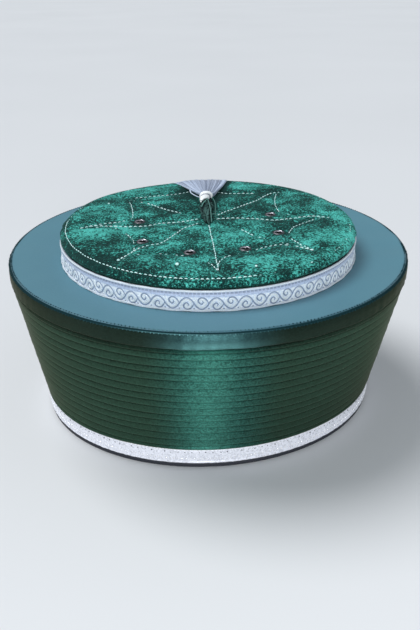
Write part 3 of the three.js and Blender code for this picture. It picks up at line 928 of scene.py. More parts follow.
bead_finish = Finish("silver_bead", Metallic=0.1, Roughness=0.1, Coat_Weight=0.8, Coat_Roughness=0.04)
bead_tone = bead_finish.attribute("tone")
bead_finish.feed("Base Color", bead_tone.choose((0.74, 0.76, 0.80), (0.94, 0.95, 0.98)))
bead_finish.on(braid_beads)

# %% [markdown]
# The upper braid is a woven silver tape. Under a rounded piping lies a dark row of stitches, then a plain
# strip, and then the old running scroll: a line that waves over one scroll and under the next, and inside
# each wave a spiral that curls to its heart, turned upside down in every second one. Between the dark lines
# the white thread stands up. So the dark lines and the white bands are real flat tubes on a pale tape, and
# the tape's wavy foot turns out a little onto the ledge.

# %% The upper braid's tape
UPPER_COLUMNS = 592
SCROLLS = 74
FIRST_SCROLL = math.radians(-98.15)
FOOT_WAVE = 0.16 * MM
upper_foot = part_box("upper_braid")[0].z
upper_top = outer("upper_braid").z
UPPER_WIDTH = outer("upper_braid").x
# How far out and how far up the tape's face lies
UPPER_FACE_MM = [
    (0.65, -0.05), (0.55, 0.25), (0.05, 0.5), (-0.2, 0.9), (-0.25, 4.0), (-0.25, 7.2), (-0.12, 7.7),
    (-0.12, 9.1), (-0.4, 9.5), (-0.4, 9.9), (-0.2, 10.3), (-0.2, 11.2),
]
upper_face = np.array([(UPPER_WIDTH, upper_foot)]) + np.array(UPPER_FACE_MM) * MM
upper_back = [(UPPER_WIDTH - BRAID_DEPTH, upper_face[-1][1]), (UPPER_WIDTH - BRAID_DEPTH, upper_foot)]
upper_line = np.concatenate([upper_face, upper_back])
upper_angle = all_round(UPPER_COLUMNS)
foot_share = column([1, 0.8, 0.2] + [0] * (len(upper_line) - 3))
foot_wave = np.cos(SCROLLS / 2 * (upper_angle - FIRST_SCROLL)) + uneven(upper_angle, 0.5, 43, 3, 40)
upper_radius = column(upper_line[:, 0]) - foot_share * FOOT_WAVE * foot_wave
upper_points = round_turned(upper_radius, column(upper_line[:, 1]), UPPER_COLUMNS)
upper_faces = grid_faces(len(upper_line), UPPER_COLUMNS, close_rows=True)
upper_tape = add_object("upper_braid_tape", upper_points, upper_faces)
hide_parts("upper_braid")

# %% Dark lines, white bands and the piping
PIPING_RADIUS = 0.65 * MM
FOOT_THREAD = 0.36 * MM
SCROLL_LEVEL = upper_foot + 4.1 * MM
SCROLL_SHIFT = 0.25 * MM
SCROLL_FACE = UPPER_WIDTH - 0.25 * MM
WAVE_RISE = 3.15 * MM
LINE_THICK = 0.18 * MM
LINE_WIDE = 0.38 * MM
BAND_THICK = 0.34 * MM
BAND_WIDE = 0.58 * MM
PIPING_COLUMNS = 360
WAVE_STEPS = 10
FOOT_STEPS = 8
# The spots between two scrolls: level, half width and half height in millimetres
SPOTS = ((4.25, 0.55, 0.2), (-2.95, 0.6, 0.4))
# Points in millimetres from the scroll's middle, to the right and up, for a scroll under an arch
DARK_SPIRAL = [
    (3.6, 0.4), (3.0, -1.3), (1.5, -2.8), (0.0, -3.1), (-1.5, -2.0), (-1.5, -0.6), (-0.2, 0.6),
    (0.85, -0.3), (0.5, -1.3),
]
WHITE_BAND = [
    (-3.5, -3.3), (-2.9, -1.8), (-2.45, -0.3), (-1.8, 1.3), (-0.5, 2.1), (0.9, 1.85), (1.95, 0.8),
    (2.15, -0.6), (1.3, -1.85), (0.1, -2.15), (-0.7, -1.5), (-0.65, -0.7), (-0.1, -0.35),
]


def on_band(turn, out, up):
    """Points in front of the upper braid: angles, how far they stand out, and heights."""
    radius = SCROLL_FACE + out
    return np.stack([radius * np.cos(turn), radius * np.sin(turn), up + 0 * turn], axis=-1)


def draw(heap, points_mm, index, out, thick, wide, tone, steps=4):
    """A flat tube through points of one scroll. Every second scroll is turned upside down."""
    upside = 1 if index % 2 == 0 else -1
    path = smooth_line(points_mm, steps) * MM
    middle = FIRST_SCROLL + 2 * math.pi * index / SCROLLS
    level = SCROLL_LEVEL + upside * (path[:, 1] - SCROLL_SHIFT)
    line = on_band(middle + path[:, 0] / UPPER_WIDTH, out, level)
    share = np.linspace(0, 1, len(line))
    ends = np.minimum(1, 0.45 + 3 * np.minimum(share, 1 - share))
    facing = unit(line * (1, 1, 0))
    heap.add(*tube(line, thick * ends, facing, sides=6, wide=wide * ends), tone=tone)


scroll_random = np.random.default_rng(41)
scroll_heap = Heap()
for i in range(SCROLLS):
    draw(scroll_heap, DARK_SPIRAL, i, 0.05 * MM, LINE_THICK, LINE_WIDE, tone=0.0)
    draw(scroll_heap, WHITE_BAND, i, 0.08 * MM, BAND_THICK, BAND_WIDE, tone=scroll_random.uniform(0.8, 1.0))
    joint = FIRST_SCROLL + 2 * math.pi * (i + 0.5) / SCROLLS
    for level, wide, tall in SPOTS:
        spot = on_band(np.array(joint), 0.02 * MM, SCROLL_LEVEL + level * MM)
        body, faces = bead((0, 0, 0), np.array([0.2, wide, tall]) * MM)
        scroll_heap.add(swung(body, joint) + spot, faces, tone=0.0)

wave_turn = all_round(SCROLLS * WAVE_STEPS)
wave = np.cos(SCROLLS / 2 * (wave_turn - FIRST_SCROLL))
wave_level = SCROLL_LEVEL + WAVE_RISE * np.sign(wave) * np.abs(wave) ** 0.8
wave_line = on_band(wave_turn, 0.06 * MM, wave_level)
scroll_heap.add(*closed_tube(wave_line, LINE_THICK, unit(wave_line * (1, 1, 0)), wide=LINE_WIDE), tone=0.0)
braid_scrolls = scroll_heap.make("upper_braid_scrolls")

piping_turn = all_round(PIPING_COLUMNS)
piping_line = on_band(piping_turn, 0, upper_top - PIPING_RADIUS)
piping = Heap()
piping.add(*closed_tube(piping_line, PIPING_RADIUS, (0, 0, 1), sides=10), tone=0.56)
foot_turn = all_round(SCROLLS * FOOT_STEPS)
foot_dips = np.cos(SCROLLS * (foot_turn - FIRST_SCROLL))
foot_line = on_band(foot_turn, (0.62 + 0.1 * foot_dips) * MM, upper_foot + (0.62 - 0.16 * foot_dips) * MM)
piping.add(*closed_tube(foot_line, FOOT_THREAD, (0, 0, 1)), tone=0.68)
braid_piping = piping.make("upper_braid_piping")

# %% [markdown]
# The scrolls' thread has a clear gloss, which the ground behind it lacks. Single threads are too fine to
# build, so they are bump. The ground changes with its height: pale behind the scrolls, duller in the plain
# strip, and crossed by dark stitches under the piping. A tone on each point tells dark lines from white
# bands.

# %% Silver braid finishes
SCROLL_THREADS = 1400
GROUND_THREADS = 1000
DARK_STITCHES = 266
glossy = {"Roughness": 0.4, "Coat_Weight": 0.5, "Coat_Roughness": 0.35}
scroll_thread = Finish("scroll_thread", Sheen_Weight=0.4, **glossy)
scroll_tone = scroll_thread.attribute("tone").ramp(0.1, 0.7, smooth=False)
white_grain = scroll_thread.noise(1.0, detail=3).ramp(0.25, 0.7)
scroll_white = white_grain.choose((0.80, 0.90, 1.0), (0.90, 0.97, 1.0))
scroll_thread.feed("Base Color", scroll_tone.choose((0.25, 0.33, 0.48), scroll_white))
scroll_thread.bump((scroll_thread.angle() * SCROLL_THREADS).sine(), 0.05)
scroll_thread.on(braid_scrolls, braid_piping)

scroll_ground = Finish("scroll_ground", Roughness=0.45, Sheen_Weight=0.3)
ground_height = scroll_ground.axis("Z")
ground_grain = scroll_ground.noise(1.2, detail=3).ramp(0.25, 0.75)
dotted = ground_height.ramp(104.0, 104.8) * (1 - ground_height.ramp(105.5, 105.7))
dark_stitch = (scroll_ground.angle() * DARK_STITCHES).sine().ramp(-0.9, -0.2)
dots = dotted * (dark_stitch * 0.45 + 0.35)
pattern_colour = ground_grain.choose((0.62, 0.74, 0.95), (0.96, 1.0, 1.0))
plain_colour = ground_grain.choose((0.42, 0.50, 0.68), (0.54, 0.64, 0.84))
ground_colour = ground_height.ramp(102.6, 103.3).choose(pattern_colour, plain_colour)
scroll_ground.feed("Base Color", dots.choose(ground_colour, (0.17, 0.21, 0.31)))
ground_weave = (scroll_ground.angle() * GROUND_THREADS).sine()
scroll_ground.bump(ground_weave * 0.4 + ground_grain, 0.08)
scroll_ground.on(upper_tape)

# %% [markdown]
# The crown is a round pad under crushed velvet. Eight seams run out from its middle like a star, a line of
# scallops joins their tips, and one ring of stitches goes round near the edge. In places the thread has sunk
# into the pile and hardly shows. So each line also says from which share of its length to which it shows.

# %% Where the stitches run
CROWN_HEIGHT = 113 * MM
CROWN_LEAN = 1.5 * MM
RING_RADIUS = 85.2 * MM
TASSEL_ANGLE = math.radians(81.4)
# A seam's angle in degrees, and its bends: how far along each lies and how far to the left, in millimetres
SEAM_TABLE = [
    {
        "angle": 38.0,
        "bends": [(11, 1.8), (26, 1.6), (37, 0.9), (49, 0.3), (64, 2.5), (74, 0)],
        "shown": [(0, 0.97)],
    },
    {"angle": 83.5, "bends": [(11, 0), (40, 0), (74, 0)], "shown": [(0, 1)]},
    {
        "angle": 130.3,
        "bends": [(15, -1.7), (25, 0.1), (38, 0.3), (49, -1.0), (70, 0)],
        "shown": [(0.18, 0.66)],
    },
    {
        "angle": 177.9,
        "bends": [(5, -3.7), (19, 0.2), (29, 0.1), (37, 3), (49, 2.2), (59, -0.5), (69, -2.9), (77, 0)],
        "shown": [(0, 1)],
    },
    {
        "angle": 220.6,
        "bends": [(7, -1.4), (20, -2.6), (32, -0.1), (45, 2.3), (52, -1.2), (60, -2.1), (69, -0.7), (78, 0)],
        "shown": [(0, 1)],
    },
    {"angle": 263.3, "bends": [(8, 0), (40, 0.2), (75, 0)], "shown": [(0, 1)]},
    {
        "angle": 308.6,
        "bends": [(10, 0.3), (27, -0.1), (37, -2.9), (55, -1.5), (76, 0)],
        "shown": [(0.22, 0.42), (0.86, 1)],
    },
    {
        "angle": 351.0,
        "bends": [(5, 2.4), (17, 3.2), (30, 0.8), (40, -1.9), (52, 0.3), (63, 3.8), (70, 1.9), (75, 0)],
        "shown": [(0, 0.96)],
    },
]
# The scallops between the seams' tips: angle in degrees and distance from the middle in millimetres
SCALLOPS = [
    {
        "line": [(38, 74), (43, 67), (49, 61), (58, 56), (66, 54), (76, 60), (83.5, 74)],
        "shown": [(0.28, 0.66)],
    },
    {
        "line": [(83.5, 74), (87, 64), (93, 58), (106, 57), (116, 60), (128, 67), (130.3, 70)],
        "shown": [(0.2, 0.9)],
    },
    {
        "line": [(130.3, 69), (136, 60), (148, 51), (164, 47), (171, 55), (173, 63), (175, 69), (178, 77)],
        "shown": [(0.12, 0.5), (0.62, 1)],
    },
    {
        "line": [(178, 77), (179, 59), (187, 54), (198, 52), (206, 53)]
        + [(214, 58), (219, 63), (220, 69), (221, 78)],
        "shown": [(0.48, 0.52), (0.72, 1)],
    },
    {
        "line": [(221, 78), (223, 66), (231, 59), (242, 56.5), (253, 58.5), (260, 66), (263, 75)],
        "shown": [(0.88, 1)],
    },
    {
        "line": [(263, 74), (264, 66), (268, 59), (275, 56), (292, 54.3), (298, 55), (305, 59), (309, 76)],
        "shown": [(0.04, 0.3), (0.55, 0.78)],
    },
    {
        "line": [(309, 76), (310, 68), (313, 61), (318, 54), (333, 52), (344, 59), (351, 68), (352, 73)],
        "shown": [(0, 0.3), (0.42, 0.88)],
    },
    {
        "line": [(354, 63), (359, 52), (364, 47), (379, 50), (390, 58), (397, 69), (398, 74)],
        "shown": [(0.33, 0.92)],
    },
]
RING_SHOWN = [(0.467, 0.767)]


def polar(angle, distance):
    return np.stack([distance * np.cos(angle), distance * np.sin(angle)], axis=-1)


def seam_line(seam):
    """A seam from near the middle to its tip, with its small bends."""
    angle = math.radians(seam["angle"])
    way = np.array([math.cos(angle), math.sin(angle)])
    left = np.array([-way[1], way[0]])
    points = [way * along * MM + left * off * MM for along, off in seam["bends"]]
    return smooth_line(points, 12)


def scallop_line(scallop):
    points = [polar(math.radians(angle), distance * MM) for angle, distance in scallop["line"]]
    return smooth_line(points, 12)


seam_lines = [seam_line(seam) for seam in SEAM_TABLE]
scallop_lines = [scallop_line(scallop) for scallop in SCALLOPS]
ring_line = polar(np.linspace(0, 2 * math.pi, 541), RING_RADIUS)
stitched_lines = seam_lines + scallop_lines + [ring_line]
print("stitched lines:", len(stitched_lines))


# %% Distances from the stitched lines
def evenly(line, step):
    """The same line with points a step apart."""
    lengths = np.concatenate([[0], np.cumsum(np.linalg.norm(np.diff(line, axis=0), axis=1))])
    at = np.linspace(0, lengths[-1], max(2, round(lengths[-1] / step) + 1))
    return np.stack([np.interp(at, lengths, line[:, k]) for k in range(line.shape[1])], axis=-1)


def tree_of(points):
    tree = KDTree(len(points))
    for i, (x, y) in enumerate(points):
        tree.insert((x, y, 0), i)
    tree.balance()
    return tree


def nearest(tree, places):
    return np.array([tree.find((x, y, 0))[2] for x, y in places])


def eased(value, low, high):
    """A smooth step from 0 at low to 1 at high."""
    share = np.clip((value - low) / (high - low), 0, 1)
    return share * share * (3 - 2 * share)


def tassel_end(x, y):
    """How far towards the tassel's end of the crown a place lies, and how far on that end's left."""
    towards = x * math.cos(TASSEL_ANGLE) + y * math.sin(TASSEL_ANGLE)
    across = y * math.cos(TASSEL_ANGLE) - x * math.sin(TASSEL_ANGLE)
    return eased(towards, 45 * MM, 85 * MM), eased(across, 4 * MM, 28 * MM)


def crown_level(x, y):
    """The level of the stitched lines. It rises a little towards the tassel and sags beside its tip."""
    towards = x * math.cos(TASSEL_ANGLE) + y * math.sin(TASSEL_ANGLE)
    far, left = tassel_end(x, y)
    return CROWN_HEIGHT + CROWN_LEAN * towards / RING_RADIUS - far * (0.5 + 0.8 * left) * MM


def clouds(places, size, seed):
    """Smooth noise from about -1 to 1 for flat places, with clouds of about this size."""
    shift = Vector((seed * 17.3, seed * 5.1, seed * 9.7))
    return np.array([noise.noise(Vector((x / size, y / size, 0)) + shift) for x, y in places])


EYELET_PLACES = [(3.5, 40.0), (170.1, 41.3), (211.1, 49.8), (248.0, 51.2), (283.4, 50.2), (321.5, 46.4)]
eyelet_spots = np.array([polar(math.radians(angle), distance * MM) for angle, distance in EYELET_PLACES])
line_tree = tree_of(np.concatenate([evenly(line, 0.5 * MM) for line in stitched_lines]))

# %% [markdown]
# Velvet that is sewn down over wadding swells between the stitches and puckers across them. Cloth simulation
# gives just that. A flat sheet is cut into triangles so that every stitched line is a row of its points.
# Those points and a ring round each eyelet are pinned, the cloth is a little larger than its bed, and its
# weight is turned round, so that it is drawn upwards. It buckles within a few frames. The sheet is simulated
# twenty times too large, because Blender's cloth is made for things the size of a shirt. Then only its
# heights are kept and it is deleted.

# %% Cut the sheet
SHEET_STEP = 1.5 * MM
CLOTH_SCALE = 20
HELD_MIDDLE = 5 * MM
POCKET_RING = 3.5 * MM


def cut_sheet():
    """Flat points and triangles of the sheet, and which points are sewn down."""
    sewn = [evenly(line, SHEET_STEP) for line in stitched_lines]
    sewn += [polar(all_round(16), POCKET_RING) + spot for spot in eyelet_spots]
    sewn = np.concatenate(sewn)
    random = np.random.default_rng(55)
    free = []
    for row, y in enumerate(np.arange(-RING_RADIUS, RING_RADIUS, SHEET_STEP * 0.87)):
        shift = (row % 2) * SHEET_STEP / 2
        free += [(x + shift, y) for x in np.arange(-RING_RADIUS, RING_RADIUS, SHEET_STEP)]
    free = np.array(free) + random.uniform(-0.15, 0.15, (len(free), 2)) * SHEET_STEP
    sewn_tree = tree_of(sewn)
    kept = nearest(sewn_tree, free) > 0.7 * SHEET_STEP
    kept &= np.linalg.norm(free, axis=1) < RING_RADIUS - 0.5 * SHEET_STEP
    for spot in eyelet_spots:
        kept &= np.linalg.norm(free - spot, axis=1) > POCKET_RING + 0.7 * MM
    flat = np.concatenate([sewn, free[kept]]) / MM
    points, _, triangles, *_ = delaunay_2d_cdt([Vector(point) for point in flat], [], [], 0, 0.25)
    points = np.array(points) * MM
    held = nearest(sewn_tree, points) < 0.2 * MM
    held |= np.linalg.norm(points, axis=1) < HELD_MIDDLE
    return points, triangles, held


# %% Quilt the sheet
CLOTH_FRAMES = 14


def quilt():
    """The quilted sheet as a tree that rays can be dropped on."""
    flat, triangles, held = cut_sheet()
    start = (0.1 + 0.15 * clouds(flat, 6 * MM, 9)) * MM
    start[held] = 0
    points = np.concatenate([flat, start[:, None]], axis=1) * CLOTH_SCALE
    mesh = bpy.data.meshes.new("quilting")
    mesh.from_pydata(points.tolist(), [], triangles)
    sheet = bpy.data.objects.new("quilting", mesh)
    scene.collection.objects.link(sheet)
    sewn_group = sheet.vertex_groups.new(name="sewn")
    sewn_group.add(np.flatnonzero(held).tolist(), 1.0, "REPLACE")
    cloth = sheet.modifiers.new("cloth", "CLOTH")
    cloth.collision_settings.use_collision = False
    settings = cloth.settings
    settings.vertex_group_mass = "sewn"
    settings.mass = 0.1
    settings.shear_stiffness = 5
    settings.bending_stiffness = 4
    settings.shrink_min = -0.014
    settings.effector_weights.gravity = -1
    for frame_number in range(1, CLOTH_FRAMES + 1):
        scene.frame_set(frame_number)
    rounding = sheet.modifiers.new("rounding", "SUBSURF")
    rounding.levels = 1
    made = sheet.evaluated_get(bpy.context.evaluated_depsgraph_get()).data
    quilted = BVHTree.FromPolygons(
        [point.co / CLOTH_SCALE for point in made.vertices], [list(face.vertices) for face in made.polygons]
    )
    bpy.data.objects.remove(sheet)
    bpy.data.meshes.remove(mesh)
    scene.frame_set(1)
    print("quilted a sheet of", len(flat), "points,", int(held.sum()), "of them sewn")
    return quilted


# %% The height of the crown
MOST_RISE = 2.0 * MM
EYELET_POCKET = 3.1 * MM
POCKET_DEPTH = 2.4 * MM
DIP_REACH = 5 * MM
FINE_PUCKER = 0.12 * MM
PUFF_REACH = 4.2 * MM
quilting_started = time.time()
quilted_sheet = quilt()
print("quilting took", round(time.time() - quilting_started, 1), "seconds")


def crown_rise(places):
    """How far the velvet stands above the stitched lines' level at flat places."""
    away = nearest(line_tree, places)
    if quilted_sheet:
        hits = [quilted_sheet.ray_cast(Vector((x, y, 0.1)), Vector((0, 0, -1)))[0] for x, y in places]
        rise = np.array([hit.z if hit else 0.0 for hit in hits])
        rise = MOST_RISE * np.tanh(np.maximum(rise, -0.1 * MM) / MOST_RISE)
    else:
        rise = 0.75 * MOST_RISE * (1 - np.exp(-away / PUFF_REACH))
    rise = rise + FINE_PUCKER * clouds(places, 3 * MM, 2) * np.clip(away / (2.5 * MM), 0, 1)
    rise = rise * (1 - 0.45 * tassel_end(places[:, 0], places[:, 1])[0])
    for spot in eyelet_spots:
        gap = np.linalg.norm(places - spot, axis=1)
        dip = np.exp(-((gap / DIP_REACH) ** 2))
        rise = rise * (1 - dip) + 0.1 * MM * dip
        rise = np.where(gap < EYELET_POCKET, -POCKET_DEPTH, rise)
    return rise


# %% The velvet
CROWN_COLUMNS = 448
CROWN_ROWS = 150
CROWN_FOOT_RADIUS = 86.9 * MM
UNDER_MIDDLE_RADIUS = 40 * MM
CROWN_UNDER = 104.4 * MM
crown_foot = outer("upper_braid").z + 0.4 * MM
crown_angle = all_round(CROWN_COLUMNS)
crown_distance = RING_RADIUS * (np.arange(1, CROWN_ROWS + 1) / CROWN_ROWS)
flat_places = polar(crown_angle[None, :], crown_distance[:, None]).reshape(-1, 2)
top_height = crown_level(flat_places[:, 0], flat_places[:, 1]) + crown_rise(flat_places)
top_points = np.concatenate([flat_places, top_height[:, None]], axis=1).reshape(CROWN_ROWS, CROWN_COLUMNS, 3)

# The shoulder's radius in millimetres at shares of its height
SHOULDER = [
    (86.3, 0.985), (87.3, 0.86), (88.1, 0.70), (88.6, 0.52),
    (88.75, 0.34), (88.5, 0.17), (87.7, 0.05), (86.9, 0.0),
]
rim_level = crown_level(RING_RADIUS * np.cos(crown_angle), RING_RADIUS * np.sin(crown_angle))
shoulder_lumps = uneven(crown_angle, 0.25 * MM, 51, 12, 60)
shoulder_points = []
for shoulder_radius, share in SHOULDER:
    height = crown_foot + share * (rim_level - crown_foot)
    radius = shoulder_radius * MM + shoulder_lumps * math.sin(math.pi * share)
    shoulder_points.append(round_turned(radius, height, CROWN_COLUMNS))
under_points = round_turned(column([CROWN_FOOT_RADIUS, UNDER_MIDDLE_RADIUS]), CROWN_UNDER, CROWN_COLUMNS)
crown_rows = np.concatenate([top_points, np.array(shoulder_points), under_points])
crown_faces = [face[::-1] for face in fanned_faces(len(crown_rows), CROWN_COLUMNS)]
middle_points = [[0, 0, CROWN_HEIGHT], [0, 0, CROWN_UNDER]]
crown_points = np.concatenate([crown_rows.reshape(-1, 3), middle_points])
crown = add_object("velvet_crown", crown_points, crown_faces)
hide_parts("crown_top")

# %% [markdown]
# Crushed velvet is light where its pile leans one way and dark where it leans the other. The lean is kept
# as one number for each point: broad patches, listed one by one, where the cloth is brightest or darkest,
# and cloudy noise for the rest. The same number carries painted shade: long thin shadows beside the tassel's
# edges, the furrows along the stitched lines, the eyelets' holes and their surroundings, and a band at the
# crown's foot. The material turns it into a bright and a dark green with a fine speckle on top.

# %% How the pile leans, with painted shade
# Each patch's angle and distance, half length and half width, turn, and how far the pile leans there, in
# degrees and millimetres. The two long thin patches that lean -4 and -2 are painted shadows beside the
# tassel.
PILE_AND_SHADOW_PATCHES = [
    (185, 66, 20, 9, -5, 0.9), (200, 40, 9, 6, 20, 0.5), (150, 66, 14, 7, -20, 0.5),
    (172, 22, 10, 5, 0, 0.5), (115, 78, 16, 5, 10, 0.8), (232, 47, 10, 6, 30, 0.5),
    (256, 62, 12, 7, 0, 0.6), (290, 30, 16, 11, 20, 0.8), (318, 66, 18, 9, -10, 0.6),
    (345, 80, 14, 7, 60, 0.6), (5, 74, 12, 7, 70, 0.7), (60, 72, 16, 7, -30, 0.6),
    (285, 72, 16, 7, 10, 0.5), (225, 80, 26, 6, -45, -0.9), (205, 87, 34, 5, -65, -1.0),
    (69.2, 61.4, 32, 1.8, 67.6, -4), (93.9, 53.3, 18, 1.8, 99.6, -2), (172, 88, 14, 3, 82, -0.9),
    (328, 86, 30, 5, 58, 0.8), (42, 62, 16, 7, 40, -0.6), (66, 50, 16, 5, 76, -0.8),
    (100, 42, 12, 6, 80, -0.6), (340, 52, 18, 8, 0, -0.7), (130, 30, 16, 9, -10, -0.7),
    (240, 34, 12, 8, 40, -0.5), (20, 30, 16, 7, 10, -0.6),
]
DARK_FOOT_TOP = 108.5 * MM
FOOT_PAINTED_SHADE = -0.9
pile_places = crown_points[:, :2]
drawn_out = pile_places * (0.8, 1.0)
pile_and_painted_shade = clouds(drawn_out, 15 * MM, 3) * 0.7 + clouds(drawn_out, 6 * MM, 4) * 0.7
for angle, distance, half_long, half_wide, turn, patch_lean_and_shade in PILE_AND_SHADOW_PATCHES:
    gap = pile_places - polar(math.radians(angle), distance * MM)
    gap_long = gap @ polar(math.radians(turn), 1) / (half_long * MM)
    gap_wide = gap @ polar(math.radians(turn + 90), 1) / (half_wide * MM)
    pile_and_painted_shade = pile_and_painted_shade + patch_lean_and_shade * np.exp(-(gap_long**2) - gap_wide**2)
# Painted shade in the furrows along the stitched lines.
pile_and_painted_shade = pile_and_painted_shade - 0.3 * np.exp(-nearest(line_tree, pile_places) / (2.0 * MM))
# Painted shade in the eyelets' holes and round them.
for spot in eyelet_spots:
    gap = np.linalg.norm(pile_places - spot, axis=1)
    pile_and_painted_shade = np.where(gap < 3.3 * MM, -3.0, pile_and_painted_shade - 0.9 * np.exp(-((gap / (6 * MM)) ** 2)))
# Painted shade: a dark band along the crown's foot, above the piping.
is_foot = crown_points[:, 2] < DARK_FOOT_TOP
keep_attribute(crown, "pile_and_painted_shade", np.where(is_foot, FOOT_PAINTED_SHADE, pile_and_painted_shade))

# %% [markdown]
# What is finer than the mesh is added in the finish: tufts, a fine speckle and a few streaks are noises that
# go on top of the lean and the painted shade. Two ramps turn the sum into dark, green and bright velvet, and
# a soft sheen lights the pile where it is seen from the side.

# %% Crushed velvet
velvet_sheen = {"Sheen_Weight": 0.15, "Sheen_Roughness": 0.35, "Sheen_Tint": (0.25, 0.75, 0.62, 1.0)}
velvet = Finish("crushed_velvet", Roughness=0.85, Specular_IOR_Level=0.12, **velvet_sheen)
pile_and_shade_wire = velvet.attribute("pile_and_painted_shade")
tufts = velvet.noise(0.8, detail=3, roughness=0.6)
speckle = velvet.noise(2.0, detail=3, roughness=0.7)
streaks = velvet.noise(0.33, detail=3, distortion=1.0, stretch=(0.85, 1.0, 1.0))
lean_and_shade = pile_and_shade_wire * 0.85 + (tufts - 0.5) * 4.8 + (speckle - 0.5) * 4.4 + (streaks - 0.5) * 1.4
velvet_light = lean_and_shade.ramp(-0.53, 1.0)
dark_to_green = velvet_light.ramp(0.0, 0.5, smooth=False).choose((0.003, 0.026, 0.024), (0.016, 0.17, 0.138))
velvet_colour = velvet_light.ramp(0.45, 1.0, smooth=False).choose(dark_to_green, (0.10, 0.58, 0.50))
velvet.feed("Base Color", velvet_colour)
velvet.bump(speckle + tufts, 0.45, strength=0.9)
velvet.on(crown)

# %% [markdown]
# Each stitch is a short tube whose thin ends dip into the cloth. The stitches lie on the finished velvet, so
# the script drops a ray from above at each of their points and takes the height that it meets. Curves with a
# bevel could make them too, but hundreds of tubes in one mesh are lighter.

# %% Stitches on the crown
crown_tree = BVHTree.FromPolygons(crown_points.tolist(), crown_faces)
RAY_START = 0.2


def drop(places):
    """Points of the velvet straight below flat places."""
    found = []
    for x, y in places:
        hit = crown_tree.ray_cast(Vector((x, y, RAY_START)), Vector((0, 0, -1)))[0]
        found.append(hit if hit else Vector((x, y, CROWN_HEIGHT)))
    return np.array(found)


STITCH_ARCH_MM = np.array([-0.12, 0.14, 0.2, 0.14, -0.12])
STITCH_TAPER = np.array([0.55, 0.95, 1.05, 0.95, 0.55])


def sew(heap, line, pitch, length, thick, random, shown):
    """Stitches along a flat line. Where they don't show, they lie deeper and only a few reach the light."""
    spots = evenly(line, pitch)
    for i, (before, after) in enumerate(zip(spots[:-1], spots[1:])):
        way = unit(after - before)
        middle = (before + after) / 2 + random.normal(0, 0.08 * MM, 2)
        half = way * length / 2 * random.uniform(0.85, 1.1)
        points = drop(middle + np.linspace(-1, 1, 5)[:, None] * half)
        share = (i + 0.5) / (len(spots) - 1)
        is_shown = any(start <= share <= end for start, end in shown)
        sunk = random.uniform(0, 0.08) if is_shown else random.uniform(0.25, 0.9)
        points[:, 2] += (STITCH_ARCH_MM - sunk) * MM
        heap.add(*tube(points, thick * STITCH_TAPER, (0, 0, 1)), tone=random.random())


SEAM_PITCH = 3.0 * MM
RING_PITCH = 2.7 * MM
stitch_random = np.random.default_rng(61)
stitch_heap = Heap()
for line, seam in zip(seam_lines, SEAM_TABLE):
    sew(stitch_heap, line, SEAM_PITCH, 2.1 * MM, 0.35 * MM, stitch_random, seam["shown"])
for line, scallop in zip(scallop_lines, SCALLOPS):
    sew(stitch_heap, line, SEAM_PITCH, 1.9 * MM, 0.30 * MM, stitch_random, scallop["shown"])
sew(stitch_heap, ring_line, RING_PITCH, 1.9 * MM, 0.27 * MM, stitch_random, RING_SHOWN)
crown_stitches = stitch_heap.make("crown_stitches")

# %% Three small knots where threads end
KNOTS_MM = [(-28.9, -66.4, 1.0), (10.6, -76.7, 0.7), (-57.1, 40.2, 0.6)]
knot_heap = Heap()
for x, y, size in KNOTS_MM:
    spot = drop([(x * MM, y * MM)])[0] + (0, 0, 0.5 * size * MM)
    knot_heap.add(*bead(spot, np.array([1.0, 0.8, 0.75]) * size * MM, rows=8, sides=12))
thread_knots = knot_heap.make("thread_knots")

# %% Pale thread on the crown
mint_thread = Finish("mint_thread", Roughness=0.4)
thread_tone = mint_thread.attribute("tone")
mint_thread.feed("Base Color", thread_tone.choose((0.50, 0.86, 0.84), (0.76, 1.0, 0.99)))
mint_thread.bump(mint_thread.noise(3.0), 0.05)
mint_thread.on(crown_stitches, thread_knots)

# %% [markdown]
# The eyelets are pressed metal rings with a rolled rim. One turned profile makes them all; each is set on
# the velvet where the plain model has its ring, and the cloth dips towards it.

# %% Eyelets
EYELET_SIDES = 40
# Radius and height in millimetres, and how bright the metal is painted there: painted shade down inside the
# hole, a painted highlight on the rolled rim, dull on the flange
EYELET_LINE_MM = [
    (1.9, -2.2, 0.0), (2.0, -1.1, 0.0), (2.1, -0.6, 0.05), (2.2, -0.2, 0.5), (2.35, 0.1, 1.0),
    (2.6, 0.3, 0.55), (2.85, 0.25, 0.15), (3.1, 0.05, 0.1), (3.35, -0.12, 0.22), (3.4, -0.3, 0.1),
    (2.9, -0.4, 0.0), (2.6, -2.2, 0.0),
]


def make_eyelet(index):
    low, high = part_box(f"eyelet_{index}")
    middle = (low + high) / 2
    line = smooth_line(EYELET_LINE_MM, 2) * MM
    points = round_turned(column(line[:, 0]), column(line[:, 1]), EYELET_SIDES)
    points = points + (middle.x, middle.y, high.z - 0.3 * MM)
    faces = [face[::-1] for face in grid_faces(len(line), EYELET_SIDES, close_rows=True)]
    made = add_object(f"eyelet_ring_{index}", points, faces)
    keep_attribute(made, "tone", np.repeat(np.clip(line[:, 2] / MM, 0, 1), EYELET_SIDES))
    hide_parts(f"eyelet_{index}")
    return made


eyelets = [make_eyelet(index) for index in range(1, len(EYELET_PLACES) + 1)]
# %% Tarnished metal with painted shade and a painted highlight
eyelet_metal = Finish("eyelet_metal", Metallic=0.9, Roughness=0.3)
tarnish = eyelet_metal.noise(0.9, detail=4).ramp(0.35, 0.7)
# The tone paints shade inside the hole and a highlight on the rolled rim; the noise is real tarnish.
bright = eyelet_metal.attribute("tone")
paleness = bright * (tarnish * 0.3 + 0.7)
eyelet_metal.feed("Base Color", paleness.choose((0.012, 0.012, 0.013), (0.72, 0.70, 0.76)))
eyelet_metal.feed("Roughness", 0.45 - bright * 0.3)
eyelet_metal.bump(tarnish, 0.05)
eyelet_metal.on(*eyelets)

